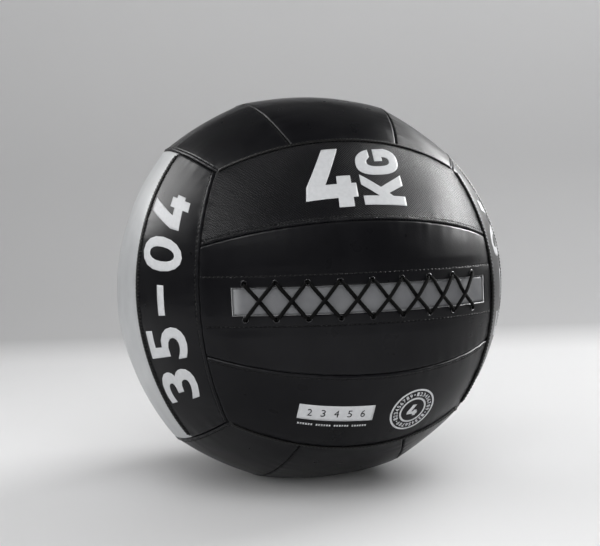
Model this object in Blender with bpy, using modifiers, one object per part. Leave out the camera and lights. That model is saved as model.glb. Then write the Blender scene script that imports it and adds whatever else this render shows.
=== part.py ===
"""Soft stuffed wall ball: eighteen sewn cover panels, a laced filling slit, padding and a weighted core.

Run with: blender --background --python part.py
Metres, +Z up. The ball rests on z = 0, its laced slit faces -Y and its strips are named from that side.
"""
import math

import bmesh
import bpy
from mathutils import Vector

MM = 0.001

# Driving dimensions of the ball
ball_diameter = 350 * MM
rest_flat_depth = 2.2 * MM
leather_thickness = 1.2 * MM
gap = 0.3 * MM
crown_width = 5.0 * MM
crown_drop = 1.8 * MM
middle_strip_half_angle = math.radians(20.0)
quarter_angle = math.radians(45.0)

# How the soft cover departs from a true ball, as shares of its radius
panel_flatness_share = 0.36
cover_shift_share = 0.0125
cover_width_share = 0.0176
cover_depth_share = -0.0075
cover_skew_share = 0.0186
cover_lean_share = -0.0573
edge_fullness_spread_share = 0.06
edge_fullness_shares = {(-1, 1): 0.019, (1, 1): -0.018, (-1, -1): 0.0275, (1, -1): -0.060}

# The lacing slit, in the middle of the front face
slit_height = 22.0 * MM
slit_left_angle = math.radians(-35.7)
slit_right_angle = math.radians(40.4)
eyelet_pairs = 9
eyelet_row_height = 14.2 * MM
eyelet_middle_angle = math.radians(0.95)
eyelet_pitch_angle = math.radians(8.26)
eyelet_bore = 3.8 * MM
eyelet_wall = 0.3 * MM
eyelet_lip = 0.7 * MM
eyelet_lip_thickness = 0.4 * MM
tape_thickness = 0.8 * MM
tape_outer_height = 21.5 * MM
tongue_thickness = 1.2 * MM
tongue_end_lap_angle = math.radians(2.6)
cord_diameter = 2.7 * MM
cord_pinch_share = 0.55
knot_share = 1.7
knot_length = 5.0 * MM

# The lining, the filling and the weighted core
lining_thickness = 0.8 * MM
core_diameter = 120.0 * MM
core_bag_wall = 1.0 * MM
core_neck_diameter = 18.0 * MM
core_neck_length = 14.0 * MM
core_tie_diameter = 3.0 * MM

# How finely each piece is cut into facets
long_segments = 7
outer_segments = 2
middle_segments = 3
lining_segments = 6
eyelet_steps = 8
core_segments = 16
core_rings = 8

# Sizes worked out from the ones above
ball_radius = ball_diameter / 2
seam_radius = ball_radius / math.cos(middle_strip_half_angle) ** panel_flatness_share
centre_height = ball_radius - rest_flat_depth
slit_half = slit_height / 2
cord_radius = cord_diameter / 2
eyelet_bore_radius = eyelet_bore / 2
eyelet_barrel_radius = eyelet_bore_radius + eyelet_wall
eyelet_lip_radius = eyelet_barrel_radius + eyelet_lip
eyelet_hole_radius = eyelet_barrel_radius + gap
tape_depth = leather_thickness + gap
eyelet_rear_depth = tape_depth + tape_thickness + gap
tongue_depth = eyelet_rear_depth + eyelet_lip_thickness + gap
strand_offset = cord_radius * cord_pinch_share + gap / 2
tongue_half = eyelet_row_height - cord_radius * cord_pinch_share - gap
sheet_sag = seam_radius * (1 - math.cos(eyelet_pitch_angle / 4))
near_bar_depth = tongue_depth + tongue_thickness + sheet_sag + gap + cord_radius
far_bar_depth = near_bar_depth + cord_diameter + gap
lining_depth = far_bar_depth + cord_radius + gap
panel_step_angle = 2 * quarter_angle / long_segments
panel_sag = seam_radius * (1 - math.cos(panel_step_angle / 2))
seam_allowance = lining_depth - gap - panel_sag
stuffing_depth = lining_depth + lining_thickness + gap
core_radius = core_diameter / 2
core_neck_radius = core_neck_diameter / 2
core_tie_radius = core_tie_diameter / 2

BLACK = (0.012, 0.012, 0.013)
SILVER = (0.36, 0.37, 0.38)

# Each face: its outward side, the way its strips run, and the way across them
faces = {
    "front": (Vector((0, -1, 0)), Vector((1, 0, 0)), Vector((0, 0, 1))),
    "back": (Vector((0, 1, 0)), Vector((-1, 0, 0)), Vector((0, 0, 1))),
    "left": (Vector((-1, 0, 0)), Vector((0, 0, 1)), Vector((0, 1, 0))),
    "right": (Vector((1, 0, 0)), Vector((0, 0, 1)), Vector((0, -1, 0))),
    "top": (Vector((0, 0, 1)), Vector((0, 1, 0)), Vector((-1, 0, 0))),
    "bottom": (Vector((0, 0, -1)), Vector((0, 1, 0)), Vector((1, 0, 0))),
}
strip_names = {
    "front": ("lower", "laced", "upper"),
    "back": ("lower", "middle", "upper"),
    "left": ("front", "middle", "back"),
    "right": ("back", "middle", "front"),
    "top": ("right", "middle", "left"),
    "bottom": ("left", "middle", "right"),
}
strip_spans = (
    (-quarter_angle, -middle_strip_half_angle),
    (-middle_strip_half_angle, middle_strip_half_angle),
    (middle_strip_half_angle, quarter_angle),
)


def clear_scene():
    for obj in list(bpy.data.objects):
        bpy.data.objects.remove(obj)


def new_collection(name):
    collection = bpy.data.collections.new(name)
    bpy.context.scene.collection.children.link(collection)
    return collection


def make_material(name, colour, roughness, metallic=0.0):
    material = bpy.data.materials.new(name)
    material.use_nodes = True
    shader = material.node_tree.nodes["Principled BSDF"]
    shader.inputs["Base Color"].default_value = (*colour, 1.0)
    shader.inputs["Roughness"].default_value = roughness
    shader.inputs["Metallic"].default_value = metallic
    return material


def add_object(name, data, collection, material=None, smooth=True):
    obj = bpy.data.objects.new(name, data)
    collection.objects.link(obj)
    if material:
        data.materials.append(material)
    if smooth and isinstance(data, bpy.types.Mesh):
        data.shade_smooth()
    return obj


def mesh_object(name, bm, collection, material=None, smooth=True):
    mesh = bpy.data.meshes.new(name)
    bm.to_mesh(mesh)
    bm.free()
    return add_object(name, mesh, collection, material, smooth)


def add_solidify(obj, thickness):
    solid = obj.modifiers.new("thickness", "SOLIDIFY")
    solid.thickness = thickness
    solid.offset = -1
    solid.use_even_offset = True


def add_cut(obj, cutter):
    cut = obj.modifiers.new("cut", "BOOLEAN")
    cut.operation = "DIFFERENCE"
    cut.solver = "EXACT"
    cut.object = cutter


def make_cutter(name, bm, collection):
    cutter = mesh_object(name, bm, collection, smooth=False)
    cutter.hide_render = True
    cutter.display_type = "WIRE"
    return cutter


def flatness(sewn):
    """Below 1 away from the seams, because a sewn strip bulges less than a ball does."""
    side = max(faces, key=lambda name: sewn.dot(faces[name][0]))
    outward, along, across = faces[side]
    run = math.atan2(sewn.dot(along), sewn.dot(outward))
    reach = math.atan2(sewn.dot(across), sewn.dot(outward))
    low, high = min(strip_spans, key=lambda span: abs(reach - sum(span) / 2) - (span[1] - span[0]) / 2)
    half = (high - low) / 2
    hold = panel_flatness_share * (1 - (run / quarter_angle) ** 4)
    return (math.cos(half) / math.cos(reach - (low + high) / 2)) ** hold


def fullness(sewn):
    """The filling packs the long edges of the cover unevenly."""
    total = 1.0
    for (side, level), share in edge_fullness_shares.items():
        nearness = sewn.dot(Vector((side, 0, level)).normalized())
        total += share * math.exp((nearness - 1) / edge_fullness_spread_share)
    return total


def slipped(sewn):
    """Where a point of the sewing pattern lies on the stuffed ball, as a direction."""
    x, y, z = sewn
    right = cover_shift_share + cover_width_share * x + cover_skew_share * y
    back = cover_skew_share * x + cover_depth_share * y + cover_lean_share * x * z
    return (sewn + Vector((right, back, 0))).normalized()


def cover_point(sewn, depth=0.0):
    """The point this deep below the cover's outer surface, flattened where the ball stands."""
    sewn = sewn.normalized()
    radius = seam_radius * fullness(sewn) * flatness(sewn)
    point = slipped(sewn) * (radius - depth)
    point.z = max(point.z + centre_height, depth)
    return point


def face_direction(side, run, reach):
    outward, along, across = faces[side]
    return outward + along * math.tan(run) + across * math.tan(reach)


def front_point(angle, height, depth=0.0):
    """A point of the front face by its angle round the ball and its height above the slit."""
    lift = height / ball_radius
    level = math.cos(lift)
    sewn = Vector((level * math.sin(angle), -level * math.cos(angle), math.sin(lift)))
    return cover_point(sewn, depth)


def front_normal(angle, height):
    step = gap
    turn = step / ball_radius
    east = front_point(angle + turn, height) - front_point(angle - turn, height)
    north = front_point(angle, height + step) - front_point(angle, height - step)
    return east.cross(north).normalized()


def even_stops(low, high, segments):
    return [low + (high - low) * i / segments for i in range(segments + 1)]


def edged_stops(low, high, inner):
    """Places across a panel: its edge, the foot of its crown, those between, and the same again."""
    margin = gap / 2 / ball_radius
    crown = crown_width / ball_radius
    return [low + margin, low + crown, *inner, high - crown, high - margin]


def crowned_stops(low, high, segments):
    crown = crown_width / ball_radius
    return edged_stops(low, high, even_stops(low + crown, high - crown, segments)[1:-1])


def grid_places(runs, reaches):
    """A flat grid, and the row and column of each of its points."""
    bm = bmesh.new()
    columns = len(runs) - 1
    rows = len(reaches) - 1
    bmesh.ops.create_grid(bm, x_segments=columns, y_segments=rows, size=1)
    places = {}
    for vert in bm.verts:
        column = round((vert.co.x + 1) / 2 * columns)
        row = round((vert.co.y + 1) / 2 * rows)
        places[vert] = (column, row)
    return bm, places


def turn_edges_in(bm, side, angles):
    """Folds the edge of a panel in, as the seam allowance that its neighbour is sewn to."""
    border = [edge for edge in bm.edges if edge.is_boundary]
    owners = {tuple(vert.co): vert for edge in border for vert in edge.verts}
    folded = bmesh.ops.extrude_edge_only(bm, edges=border)["geom"]
    for vert in folded:
        if isinstance(vert, bmesh.types.BMVert):
            run, reach = angles[owners[tuple(vert.co)]]
            vert.co = cover_point(face_direction(side, run, reach), seam_allowance)


def build_panel(side, strip, collection, material, runs=None, reaches=None):
    low, high = strip_spans[strip]
    name = strip_names[side][strip]
    laced = name == "laced"
    if laced:
        heights = (-tape_outer_height, -slit_half, slit_half, tape_outer_height)
        runs = edged_stops(-quarter_angle, quarter_angle, slit_stops())
        reaches = edged_stops(low, high, [height / ball_radius for height in heights])
    else:
        segments = middle_segments if strip == 1 else outer_segments
        runs = runs or crowned_stops(-quarter_angle, quarter_angle, long_segments)
        reaches = reaches or crowned_stops(low, high, segments)
    bm, places = grid_places(runs, reaches)
    angles = {}
    for vert, (column, row) in places.items():
        run, reach = runs[column], reaches[row]
        if laced and 1 < row < len(reaches) - 2:
            reach = math.atan(math.tan(reach) / math.cos(run))
        edge = column in (0, len(runs) - 1) or row in (0, len(reaches) - 1)
        angles[vert] = (run, reach)
        vert.co = cover_point(face_direction(side, run, reach), crown_drop if edge else 0)
    turn_edges_in(bm, side, angles)
    if laced:
        cut_slit(bm, places, runs, reaches)
    bmesh.ops.recalc_face_normals(bm, faces=bm.faces)
    panel = mesh_object(f"{side}_{name}_panel", bm, collection, material)
    add_solidify(panel, leather_thickness)
    return panel


def cut_slit(bm, places, runs, reaches):
    columns = range(2, len(runs) - 2)
    rows = range(3, len(reaches) - 3)
    gone = [
        face for face in bm.faces
        if all(vert in places and places[vert][0] in columns and places[vert][1] in rows
               for vert in face.verts)
    ]
    bmesh.ops.delete(bm, geom=gone, context="FACES")


def build_cover(collection, eyelet_holes):
    black = make_material("black_synthetic_leather", BLACK, 0.42)
    twill = make_material("black_ribbed_leather", BLACK, 0.5)
    silver = make_material("silver_synthetic_leather", SILVER, 0.45)
    rest_stops = even_stops(-quarter_angle, quarter_angle, 2 * long_segments)[1:-1]
    for side in faces:
        for strip, name in enumerate(strip_names[side]):
            material = black
            if side in ("left", "right") and name == "middle":
                material = silver
            if (side, name) == ("front", "upper"):
                material = twill
            runs = reaches = None
            if (side, name) == ("bottom", "middle"):
                low, high = strip_spans[strip]
                runs = edged_stops(-quarter_angle, quarter_angle, rest_stops)
                reaches = crowned_stops(low, high, 2 * middle_segments)
            panel = build_panel(side, strip, collection, material, runs, reaches)
            if name == "laced":
                add_cut(panel, eyelet_holes)


def build_sheet(name, runs, heights, depth, thickness, collection, material):
    """A strip of sheet behind the front face, held at a constant depth."""
    bm, places = grid_places(runs, heights)
    for vert, (column, row) in places.items():
        vert.co = front_point(runs[column], heights[row], depth)
    bmesh.ops.recalc_face_normals(bm, faces=bm.faces)
    outward = front_normal(0, 0)
    if sum(face.normal.dot(outward) for face in bm.faces) < 0:
        bmesh.ops.reverse_faces(bm, faces=bm.faces)
    sheet = mesh_object(name, bm, collection, material)
    add_solidify(sheet, thickness)
    return sheet


def eyelet_angle(pair):
    return eyelet_middle_angle + eyelet_pitch_angle * (pair - (eyelet_pairs - 1) / 2)


def slit_stops():
    """Places along the slit: its two ends, each eyelet and half way between."""
    first, last = eyelet_angle(0), eyelet_angle(eyelet_pairs - 1)
    return [slit_left_angle, *even_stops(first, last, 2 * (eyelet_pairs - 1)), slit_right_angle]


def eyelet_seats():
    """Each eyelet's name, place and outward direction."""
    for pair in range(eyelet_pairs):
        for row, sign in (("upper", 1), ("lower", -1)):
            angle = eyelet_angle(pair)
            height = sign * eyelet_row_height
            yield f"{row}_eyelet_{pair + 1}", front_point(angle, height), front_normal(angle, height)


def seat_matrix(place, normal):
    matrix = normal.to_track_quat("Z", "Y").to_matrix().to_4x4()
    matrix.translation = place
    return matrix


def make_eyelet_holes(cutters):
    """One cutter with a pin for each eyelet, through the flap and its tape."""
    bm = bmesh.new()
    length = 2 * (eyelet_rear_depth + eyelet_lip_thickness)
    for _, place, normal in eyelet_seats():
        bmesh.ops.create_cone(
            bm, cap_ends=True, segments=eyelet_steps, radius1=eyelet_hole_radius,
            radius2=eyelet_hole_radius, depth=length, matrix=seat_matrix(place, normal),
        )
    return make_cutter("eyelet_hole_cutter", bm, cutters)


def eyelet_profile():
    """Outer side from the front lip to the rear curl, then back up the bore."""
    front = gap + eyelet_lip_thickness
    rear = -eyelet_rear_depth
    return [
        (eyelet_bore_radius, front), (eyelet_lip_radius, front), (eyelet_lip_radius, gap),
        (eyelet_barrel_radius, gap), (eyelet_barrel_radius, rear), (eyelet_lip_radius, rear),
        (eyelet_lip_radius, rear - eyelet_lip_thickness), (eyelet_bore_radius, rear - eyelet_lip_thickness),
    ]


def turned(name, profile, steps, collection, material, closed):
    """A profile of radius and height pairs, turned round Z with a Screw modifier."""
    bm = bmesh.new()
    verts = [bm.verts.new((radius, 0, height)) for radius, height in profile]
    ends = verts[1:] + verts[:1] if closed else verts[1:]
    for first, second in zip(verts, ends):
        bm.edges.new((first, second))
    obj = mesh_object(name, bm, collection, material)
    screw = obj.modifiers.new("turn", "SCREW")
    screw.axis = "Z"
    screw.angle = math.tau
    screw.steps = steps
    screw.render_steps = steps
    screw.use_merge_vertices = True
    screw.merge_threshold = 0.01 * MM
    screw.use_smooth_shade = True
    return obj


def build_eyelets(collection):
    material = make_material("black_enamelled_metal", (0.02, 0.02, 0.022), 0.25, 0.9)
    for name, place, normal in eyelet_seats():
        eyelet = turned(name, eyelet_profile(), eyelet_steps, collection, material, closed=True)
        eyelet.location = place
        eyelet.rotation_euler = normal.to_track_quat("Z", "Y").to_euler()


def hole_strand(pair, sign, lean):
    """Where a strand passes an eyelet: its angle and height, pushed aside for its neighbour."""
    return eyelet_angle(pair) + lean * strand_offset / ball_radius, sign * eyelet_row_height


def leg_points(start, end, rise):
    """Half the way out of one eyelet, over the flap, past the crossing and into the other."""
    lip_top = gap + eyelet_lip_thickness
    pinched = cord_radius * cord_pinch_share
    run = Vector(((end[0] - start[0]) * ball_radius, end[1] - start[1])).normalized()
    steps = (
        (0, -tape_depth, cord_pinch_share),
        (0, lip_top + gap, cord_pinch_share),
        (pinched, lip_top + gap + pinched, cord_pinch_share),
        (eyelet_lip_radius + cord_radius, gap + cord_radius + gap, 1),
    )
    out = []
    for first, way in ((start, run), (end, -run)):
        half = []
        for ahead, height, radius in steps:
            angle = first[0] + way.x * ahead / ball_radius
            half.append((angle, first[1] + way.y * ahead, -height, radius))
        out.append(half)
    middle = ((start[0] + end[0]) / 2, (start[1] + end[1]) / 2, -(gap + cord_radius + rise), 1)
    return [*out[0], middle, *reversed(out[1])]


def bar_points(start, end, depth):
    """Behind the tongue, from one eyelet of a pair to the other."""
    pinched = cord_radius * cord_pinch_share
    half = []
    for first, second in ((start, end), (end, start)):
        turn_in = (tongue_half - pinched) / eyelet_row_height
        drops = [tongue_depth + tongue_thickness + pinched / 2]
        if depth > near_bar_depth:
            drops.append(near_bar_depth + pinched + gap)
        strand = [(first[0], first[1], drop, cord_pinch_share) for drop in drops]
        blend = first[0] + (second[0] - first[0]) * (1 - turn_in) / 2
        half.append([*strand, (blend, first[1] * turn_in, depth, 1)])
    middle = ((start[0] + end[0]) / 2, 0, depth, 1)
    return [*half[0], middle, *reversed(half[1])]


def knot_points(hole):
    """The cord's end behind the flap, thickened by its stopper knot."""
    sign = 1 if hole[1] > 0 else -1
    depth = tongue_depth + cord_radius * knot_share
    knot = hole[1] + sign * cord_diameter
    ends = (knot, knot + sign * knot_length / 2, knot + sign * knot_length)
    return [
        (hole[0], hole[1], tongue_depth, cord_pinch_share),
        *((hole[0], height, depth, share) for height, share in zip(ends, (1, knot_share, 1))),
    ]


def lace_route(sign, rise, bar_depth):
    """One cord: over the slit to the next pair, then straight back behind, to the last pair."""
    start = hole_strand(0, sign, 0)
    route = list(reversed(knot_points(start)))
    for pair in range(1, eyelet_pairs):
        last = pair == eyelet_pairs - 1
        end = hole_strand(pair, -sign, 0 if last else -1)
        route += leg_points(start, end, rise)
        if last:
            return route + knot_points(end)
        start = hole_strand(pair, sign, 1)
        route += bar_points(end, start, bar_depth)
    return route


def build_lace(name, sign, rise, bar_depth, collection, material):
    curve = bpy.data.curves.new(name, "CURVE")
    curve.dimensions = "3D"
    curve.bevel_depth = cord_radius
    curve.bevel_resolution = 1
    curve.use_fill_caps = True
    route = lace_route(sign, rise, bar_depth)
    spline = curve.splines.new("POLY")
    spline.points.add(len(route) - 1)
    centres = []
    for point, (angle, height, depth, radius) in zip(spline.points, route):
        centre = front_point(angle, height, depth)
        point.co = (*centre, 1)
        point.radius = radius
        centres.append((centre, cord_radius * radius))
    add_object(name, curve, collection, material)
    return centres


def least_gap(first, second, apart):
    """The least gap between two runs of cord, by their points, leaving out close neighbours."""
    least = ball_diameter
    for i, (a, a_radius) in enumerate(first):
        for j, (b, b_radius) in enumerate(second):
            if abs(i - j) > apart:
                least = min(least, (a - b).length - a_radius - b_radius)
    return least


def build_laces(collection):
    material = make_material("black_lace_cord", (0.01, 0.01, 0.01), 0.75)
    lift = cord_radius + gap / 2
    under = build_lace("falling_lace_cord", 1, -lift, near_bar_depth, collection, material)
    over = build_lace("rising_lace_cord", -1, lift, far_bar_depth, collection, material)
    neighbours = 5
    for name, first, second, apart in (
        ("falling lace to itself", under, under, neighbours),
        ("rising lace to itself", over, over, neighbours),
        ("one lace to the other", under, over, -1),
    ):
        print(f"least gap, {name}: {least_gap(first, second, apart) / MM:.2f} mm")


def build_slit_parts(collection, eyelet_holes):
    webbing = make_material("black_webbing", (0.02, 0.02, 0.02), 0.8)
    grey = make_material("grey_tongue", (0.19, 0.195, 0.205), 0.5)
    edge = slit_half + gap
    runs = edged_stops(-quarter_angle, quarter_angle, slit_stops())[1:-1]
    for name, heights in (
        ("upper_eyelet_tape", (edge, tape_outer_height)),
        ("lower_eyelet_tape", (-tape_outer_height, -edge)),
    ):
        tape = build_sheet(name, runs, heights, tape_depth, tape_thickness, collection, webbing)
        add_cut(tape, eyelet_holes)
    left = slit_left_angle - tongue_end_lap_angle
    right = slit_right_angle + tongue_end_lap_angle
    build_sheet(
        "lace_tongue", [left, *slit_stops(), right], (-tongue_half, 0, tongue_half),
        tongue_depth, tongue_thickness, collection, grey,
    )


def rounded_cube(depth):
    """A cube with evenly cut faces, swelled to this depth below the cover."""
    bm = bmesh.new()
    bmesh.ops.create_cube(bm, size=2)
    bmesh.ops.subdivide_edges(bm, edges=bm.edges, cuts=lining_segments - 1, use_grid_fill=True)
    for vert in bm.verts:
        sewn = Vector([math.tan(value * quarter_angle) for value in vert.co])
        vert.co = cover_point(sewn, depth)
    return bm


def box_cutter(name, low, high, cutters):
    bm = bmesh.new()
    bmesh.ops.create_cube(bm, size=1)
    for vert in bm.verts:
        for axis in range(3):
            vert.co[axis] = high[axis] if vert.co[axis] > 0 else low[axis]
    return make_cutter(name, bm, cutters)


def build_lining(collection, cutters):
    material = make_material("woven_lining", (0.05, 0.05, 0.055), 0.85)
    lining = mesh_object("inner_lining_bag", rounded_cube(lining_depth), collection, material)
    add_solidify(lining, lining_thickness)
    reach = ball_radius * math.sin(-slit_left_angle)
    slit = box_cutter(
        "filling_slit_cutter",
        (-reach, -ball_diameter, centre_height - slit_half),
        (reach, -core_radius, centre_height + slit_half), cutters,
    )
    add_cut(lining, slit)


def make_core_pocket(cutters):
    """Room in the stuffing for the core bag with its tied neck."""
    bm = bmesh.new()
    bmesh.ops.create_uvsphere(
        bm, u_segments=core_segments, v_segments=core_rings, radius=core_radius + gap
    )
    pocket = make_cutter("core_pocket_cutter", bm, cutters)
    pocket.location.z = centre_height
    bm = bmesh.new()
    radius = core_neck_radius + core_tie_diameter + 2 * gap
    top = core_radius + core_neck_length + gap
    bmesh.ops.create_cone(
        bm, cap_ends=True, segments=core_segments, radius1=radius, radius2=radius, depth=top
    )
    neck = make_cutter("core_neck_cutter", bm, cutters)
    neck.location.z = centre_height + top / 2
    return pocket, neck


def build_stuffing(collection, cutters):
    material = make_material("fibre_stuffing", (0.55, 0.54, 0.5), 0.95)
    pocket, neck = make_core_pocket(cutters)
    middle = Vector((0, 0, centre_height))
    for name, side in (("upper_stuffing", 1), ("lower_stuffing", -1)):
        bm = rounded_cube(stuffing_depth)
        plane = middle + Vector((0, 0, side * gap / 2))
        cut = bmesh.ops.bisect_plane(
            bm, geom=[*bm.verts, *bm.edges, *bm.faces], plane_co=plane,
            plane_no=(0, 0, -side), clear_outer=True,
        )["geom_cut"]
        rim = [item for item in cut if isinstance(item, bmesh.types.BMEdge)]
        bmesh.ops.holes_fill(bm, edges=rim)
        bmesh.ops.recalc_face_normals(bm, faces=bm.faces)
        stuffing = mesh_object(name, bm, collection, material)
        add_cut(stuffing, pocket)
        if side > 0:
            add_cut(stuffing, neck)


def core_ring(ring):
    angle = math.pi * ring / core_rings
    return core_radius * math.sin(angle), core_radius * math.cos(angle)


def core_profile():
    """The core bag's outside from its open neck down to the middle of its base."""
    first = math.ceil(math.asin(core_neck_radius / core_radius) * core_rings / math.pi)
    (inner, above), (outer, below) = core_ring(first - 1), core_ring(first)
    shoulder = above - (above - below) * (core_neck_radius - inner) / (outer - inner)
    neck = [(core_neck_radius, core_radius + core_neck_length), (core_neck_radius, shoulder)]
    rings = [core_ring(ring) for ring in range(first, core_rings)]
    return [*neck, *rings, (0, -core_radius)]


def build_core(collection):
    canvas = make_material("core_canvas", (0.3, 0.27, 0.2), 0.9)
    twine = make_material("tie_twine", (0.5, 0.42, 0.28), 0.9)
    sand = make_material("sand_ballast", (0.42, 0.34, 0.22), 0.95)
    bag = turned("core_bag", core_profile(), core_segments, collection, canvas, closed=False)
    bag.location.z = centre_height
    add_solidify(bag, core_bag_wall)
    bm = bmesh.new()
    bmesh.ops.create_uvsphere(
        bm, u_segments=core_segments, v_segments=core_rings,
        radius=core_radius - core_bag_wall - 2 * gap,
    )
    ballast = mesh_object("sand_ballast", bm, collection, sand)
    ballast.location.z = centre_height
    ring = core_neck_radius + core_tie_radius + gap
    turn = math.tau / eyelet_steps
    profile = [
        (ring + core_tie_radius * math.cos(step * turn), -core_tie_radius * math.sin(step * turn))
        for step in range(eyelet_steps)
    ]
    tie = turned("core_bag_tie", profile, core_segments, collection, twine, closed=True)
    tie.location.z = centre_height + core_radius + core_neck_length / 2


def main():
    clear_scene()
    collection = new_collection("wall_ball")
    cutters = new_collection("cutters")
    eyelet_holes = make_eyelet_holes(cutters)
    build_cover(collection, eyelet_holes)
    build_slit_parts(collection, eyelet_holes)
    build_eyelets(collection)
    build_laces(collection)
    build_lining(collection, cutters)
    build_stuffing(collection, cutters)
    build_core(collection)


main()
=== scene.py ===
"""Looks of the soft stuffed wall ball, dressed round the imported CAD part.

Metres, +Z up. Sizes and shape functions repeat those of the part's source, so each piece sits where its
solid does. Each cover panel is a sewn sheet of leather with rolled edges, ridges, puckers and stitches.
"""
import math

import bmesh
import bpy
import numpy as np
from mathutils import Matrix, Vector
from mathutils.bvhtree import BVHTree


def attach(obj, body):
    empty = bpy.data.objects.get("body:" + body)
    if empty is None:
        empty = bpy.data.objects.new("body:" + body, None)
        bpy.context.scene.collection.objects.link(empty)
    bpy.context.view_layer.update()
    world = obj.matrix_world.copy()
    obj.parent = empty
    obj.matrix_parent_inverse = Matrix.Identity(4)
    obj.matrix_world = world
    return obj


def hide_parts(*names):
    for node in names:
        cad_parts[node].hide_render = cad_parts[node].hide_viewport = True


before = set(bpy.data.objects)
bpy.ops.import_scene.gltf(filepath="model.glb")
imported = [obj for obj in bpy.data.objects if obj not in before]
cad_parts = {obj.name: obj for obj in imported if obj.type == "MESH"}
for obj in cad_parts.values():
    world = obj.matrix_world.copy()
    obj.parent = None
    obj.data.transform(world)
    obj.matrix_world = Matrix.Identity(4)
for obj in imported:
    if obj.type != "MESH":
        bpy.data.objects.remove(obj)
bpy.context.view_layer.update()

MM = 0.001

# The part's own sizes
ball_radius = 175 * MM
rest_flat_depth = 2.2 * MM
leather_thickness = 1.2 * MM
gap = 0.3 * MM
middle_strip_half_angle = math.radians(20.0)
quarter_angle = math.radians(45.0)
panel_flatness_share = 0.36
cover_shift_share = 0.0125
cover_width_share = 0.0176
cover_depth_share = -0.0075
cover_skew_share = 0.0186
cover_lean_share = -0.0573
edge_fullness_spread_share = 0.06
edge_fullness_shares = {(-1, 1): 0.019, (1, 1): -0.018, (-1, -1): 0.0275, (1, -1): -0.060}
slit_half = 11.0 * MM
slit_left_angle = math.radians(-35.7)
slit_right_angle = math.radians(40.4)
eyelet_pairs = 9
eyelet_row_height = 14.2 * MM
eyelet_middle_angle = math.radians(0.95)
eyelet_pitch_angle = math.radians(8.26)
eyelet_bore_radius = 1.9 * MM
eyelet_wall = 0.3 * MM
eyelet_lip = 0.7 * MM
eyelet_lip_thickness = 0.4 * MM
tape_thickness = 0.8 * MM
tape_outer_height = 21.5 * MM
tongue_thickness = 1.2 * MM
tongue_end_lap_angle = math.radians(2.6)
cord_radius = 1.35 * MM
cord_pinch_share = 0.55
cord_spread_share = 0.12
knot_share = 1.7
knot_length = 5.0 * MM
core_radius = 60.0 * MM
core_neck_radius = 9.0 * MM
core_neck_length = 14.0 * MM
core_tie_radius = 1.5 * MM
core_bag_wall = 1.0 * MM

# Sizes worked out from the ones above, as in the part's source
seam_radius = ball_radius / math.cos(middle_strip_half_angle) ** panel_flatness_share
centre_height = ball_radius - rest_flat_depth
ball_middle = Vector((0, 0, centre_height))
eyelet_barrel_radius = eyelet_bore_radius + eyelet_wall
eyelet_lip_radius = eyelet_barrel_radius + eyelet_lip
tape_depth = leather_thickness + gap
eyelet_rear_depth = tape_depth + tape_thickness + gap
tongue_depth = eyelet_rear_depth + eyelet_lip_thickness + gap
strand_offset = cord_radius * cord_pinch_share + gap / 2
pinched_radius = cord_radius * cord_pinch_share
tongue_half = eyelet_row_height - cord_radius * cord_pinch_share - gap
sheet_sag = seam_radius * (1 - math.cos(eyelet_pitch_angle / 4))
near_bar_depth = tongue_depth + tongue_thickness + sheet_sag + gap + cord_radius
far_bar_depth = near_bar_depth + 2 * cord_radius + gap

# How the leather is sewn
open_step = 1.7 * MM
fine_step = 0.4 * MM
fine_reach = 5.4 * MM
fine_edge_stops = [*np.arange(gap / 2, fine_reach, fine_step), fine_reach + 0.7 * MM, fine_reach + 1.8 * MM]
corner_margin = 3 * MM
turned_depth = 6.0 * MM
stitch_pitch = 3.9 * MM
stitch_length = 3.0 * MM
thread_radius = 0.42 * MM
ridge_middle = 1.9 * MM
ridge_half = 0.9 * MM
ridge_height = 0.5 * MM
topstitch_line = 3.4 * MM
topstitch_half = 0.45 * MM
topstitch_depth = 0.7 * MM
flap_stitch_height = 19.8 * MM
flap_hem_roll = 1.2 * MM
flap_hem_drop = 0.7 * MM
pucker_reach = 7.0 * MM
pucker_depth = 0.28 * MM
pucker_length = 9 * MM
pucker_start = 1.2 * MM
uneven_length = 26 * MM
worn_reach = 2.2 * MM
eyelet_dent_depth = 0.25 * MM
eyelet_dent_reach = 4 * MM
quiet_reach = 8 * MM
drill_depth = 8 * MM
# The gentle lumps of the stuffing under the leather: how deep and how long they are
soft_lumps = ((0.30 * MM, 70 * MM), (0.04 * MM, 26 * MM))
seam_drop = 2.3 * MM
seam_reach = 9 * MM
hem_step_shares = np.array([0, 0.12, 0.35, 0.7, 1, 1.6])
# For each way of sewing: how wide and how deep the panel's edge rolls in
edge_rolls = {
    "plain": (2.2 * MM, 2.2 * MM),
    "ridge": (1.2 * MM, 2.0 * MM),
    "whip": (2.4 * MM, 2.4 * MM),
    "bound": (1.3 * MM, 1.6 * MM),
}

# For each face: the ways out of it, along its strips and across them, and its strips from low to high
face_plans = {
    "front": ((0, -1, 0), (1, 0, 0), (0, 0, 1), "lower laced upper"),
    "back": ((0, 1, 0), (-1, 0, 0), (0, 0, 1), "lower middle upper"),
    "left": ((-1, 0, 0), (0, 0, 1), (0, 1, 0), "front middle back"),
    "right": ((1, 0, 0), (0, 0, 1), (0, -1, 0), "back middle front"),
    "top": ((0, 0, 1), (0, 1, 0), (-1, 0, 0), "right middle left"),
    "bottom": ((0, 0, -1), (0, 1, 0), (1, 0, 0), "left middle right"),
}
faces = {side: np.array(plan[:3], float) for side, plan in face_plans.items()}
edges = ("low", "high", "start", "end")
strip_spans = (
    (-quarter_angle, -middle_strip_half_angle),
    (-middle_strip_half_angle, middle_strip_half_angle),
    (middle_strip_half_angle, quarter_angle),
)


# The shape of the stuffed cover


def unit(vectors):
    return vectors / np.linalg.norm(vectors, axis=-1, keepdims=True)


def face_direction(side, run, reach):
    outward, along, across = faces[side]
    tan_run, tan_reach = np.tan(run)[..., None], np.tan(reach)[..., None]
    return unit(outward + along * tan_run + across * tan_reach)


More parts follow.
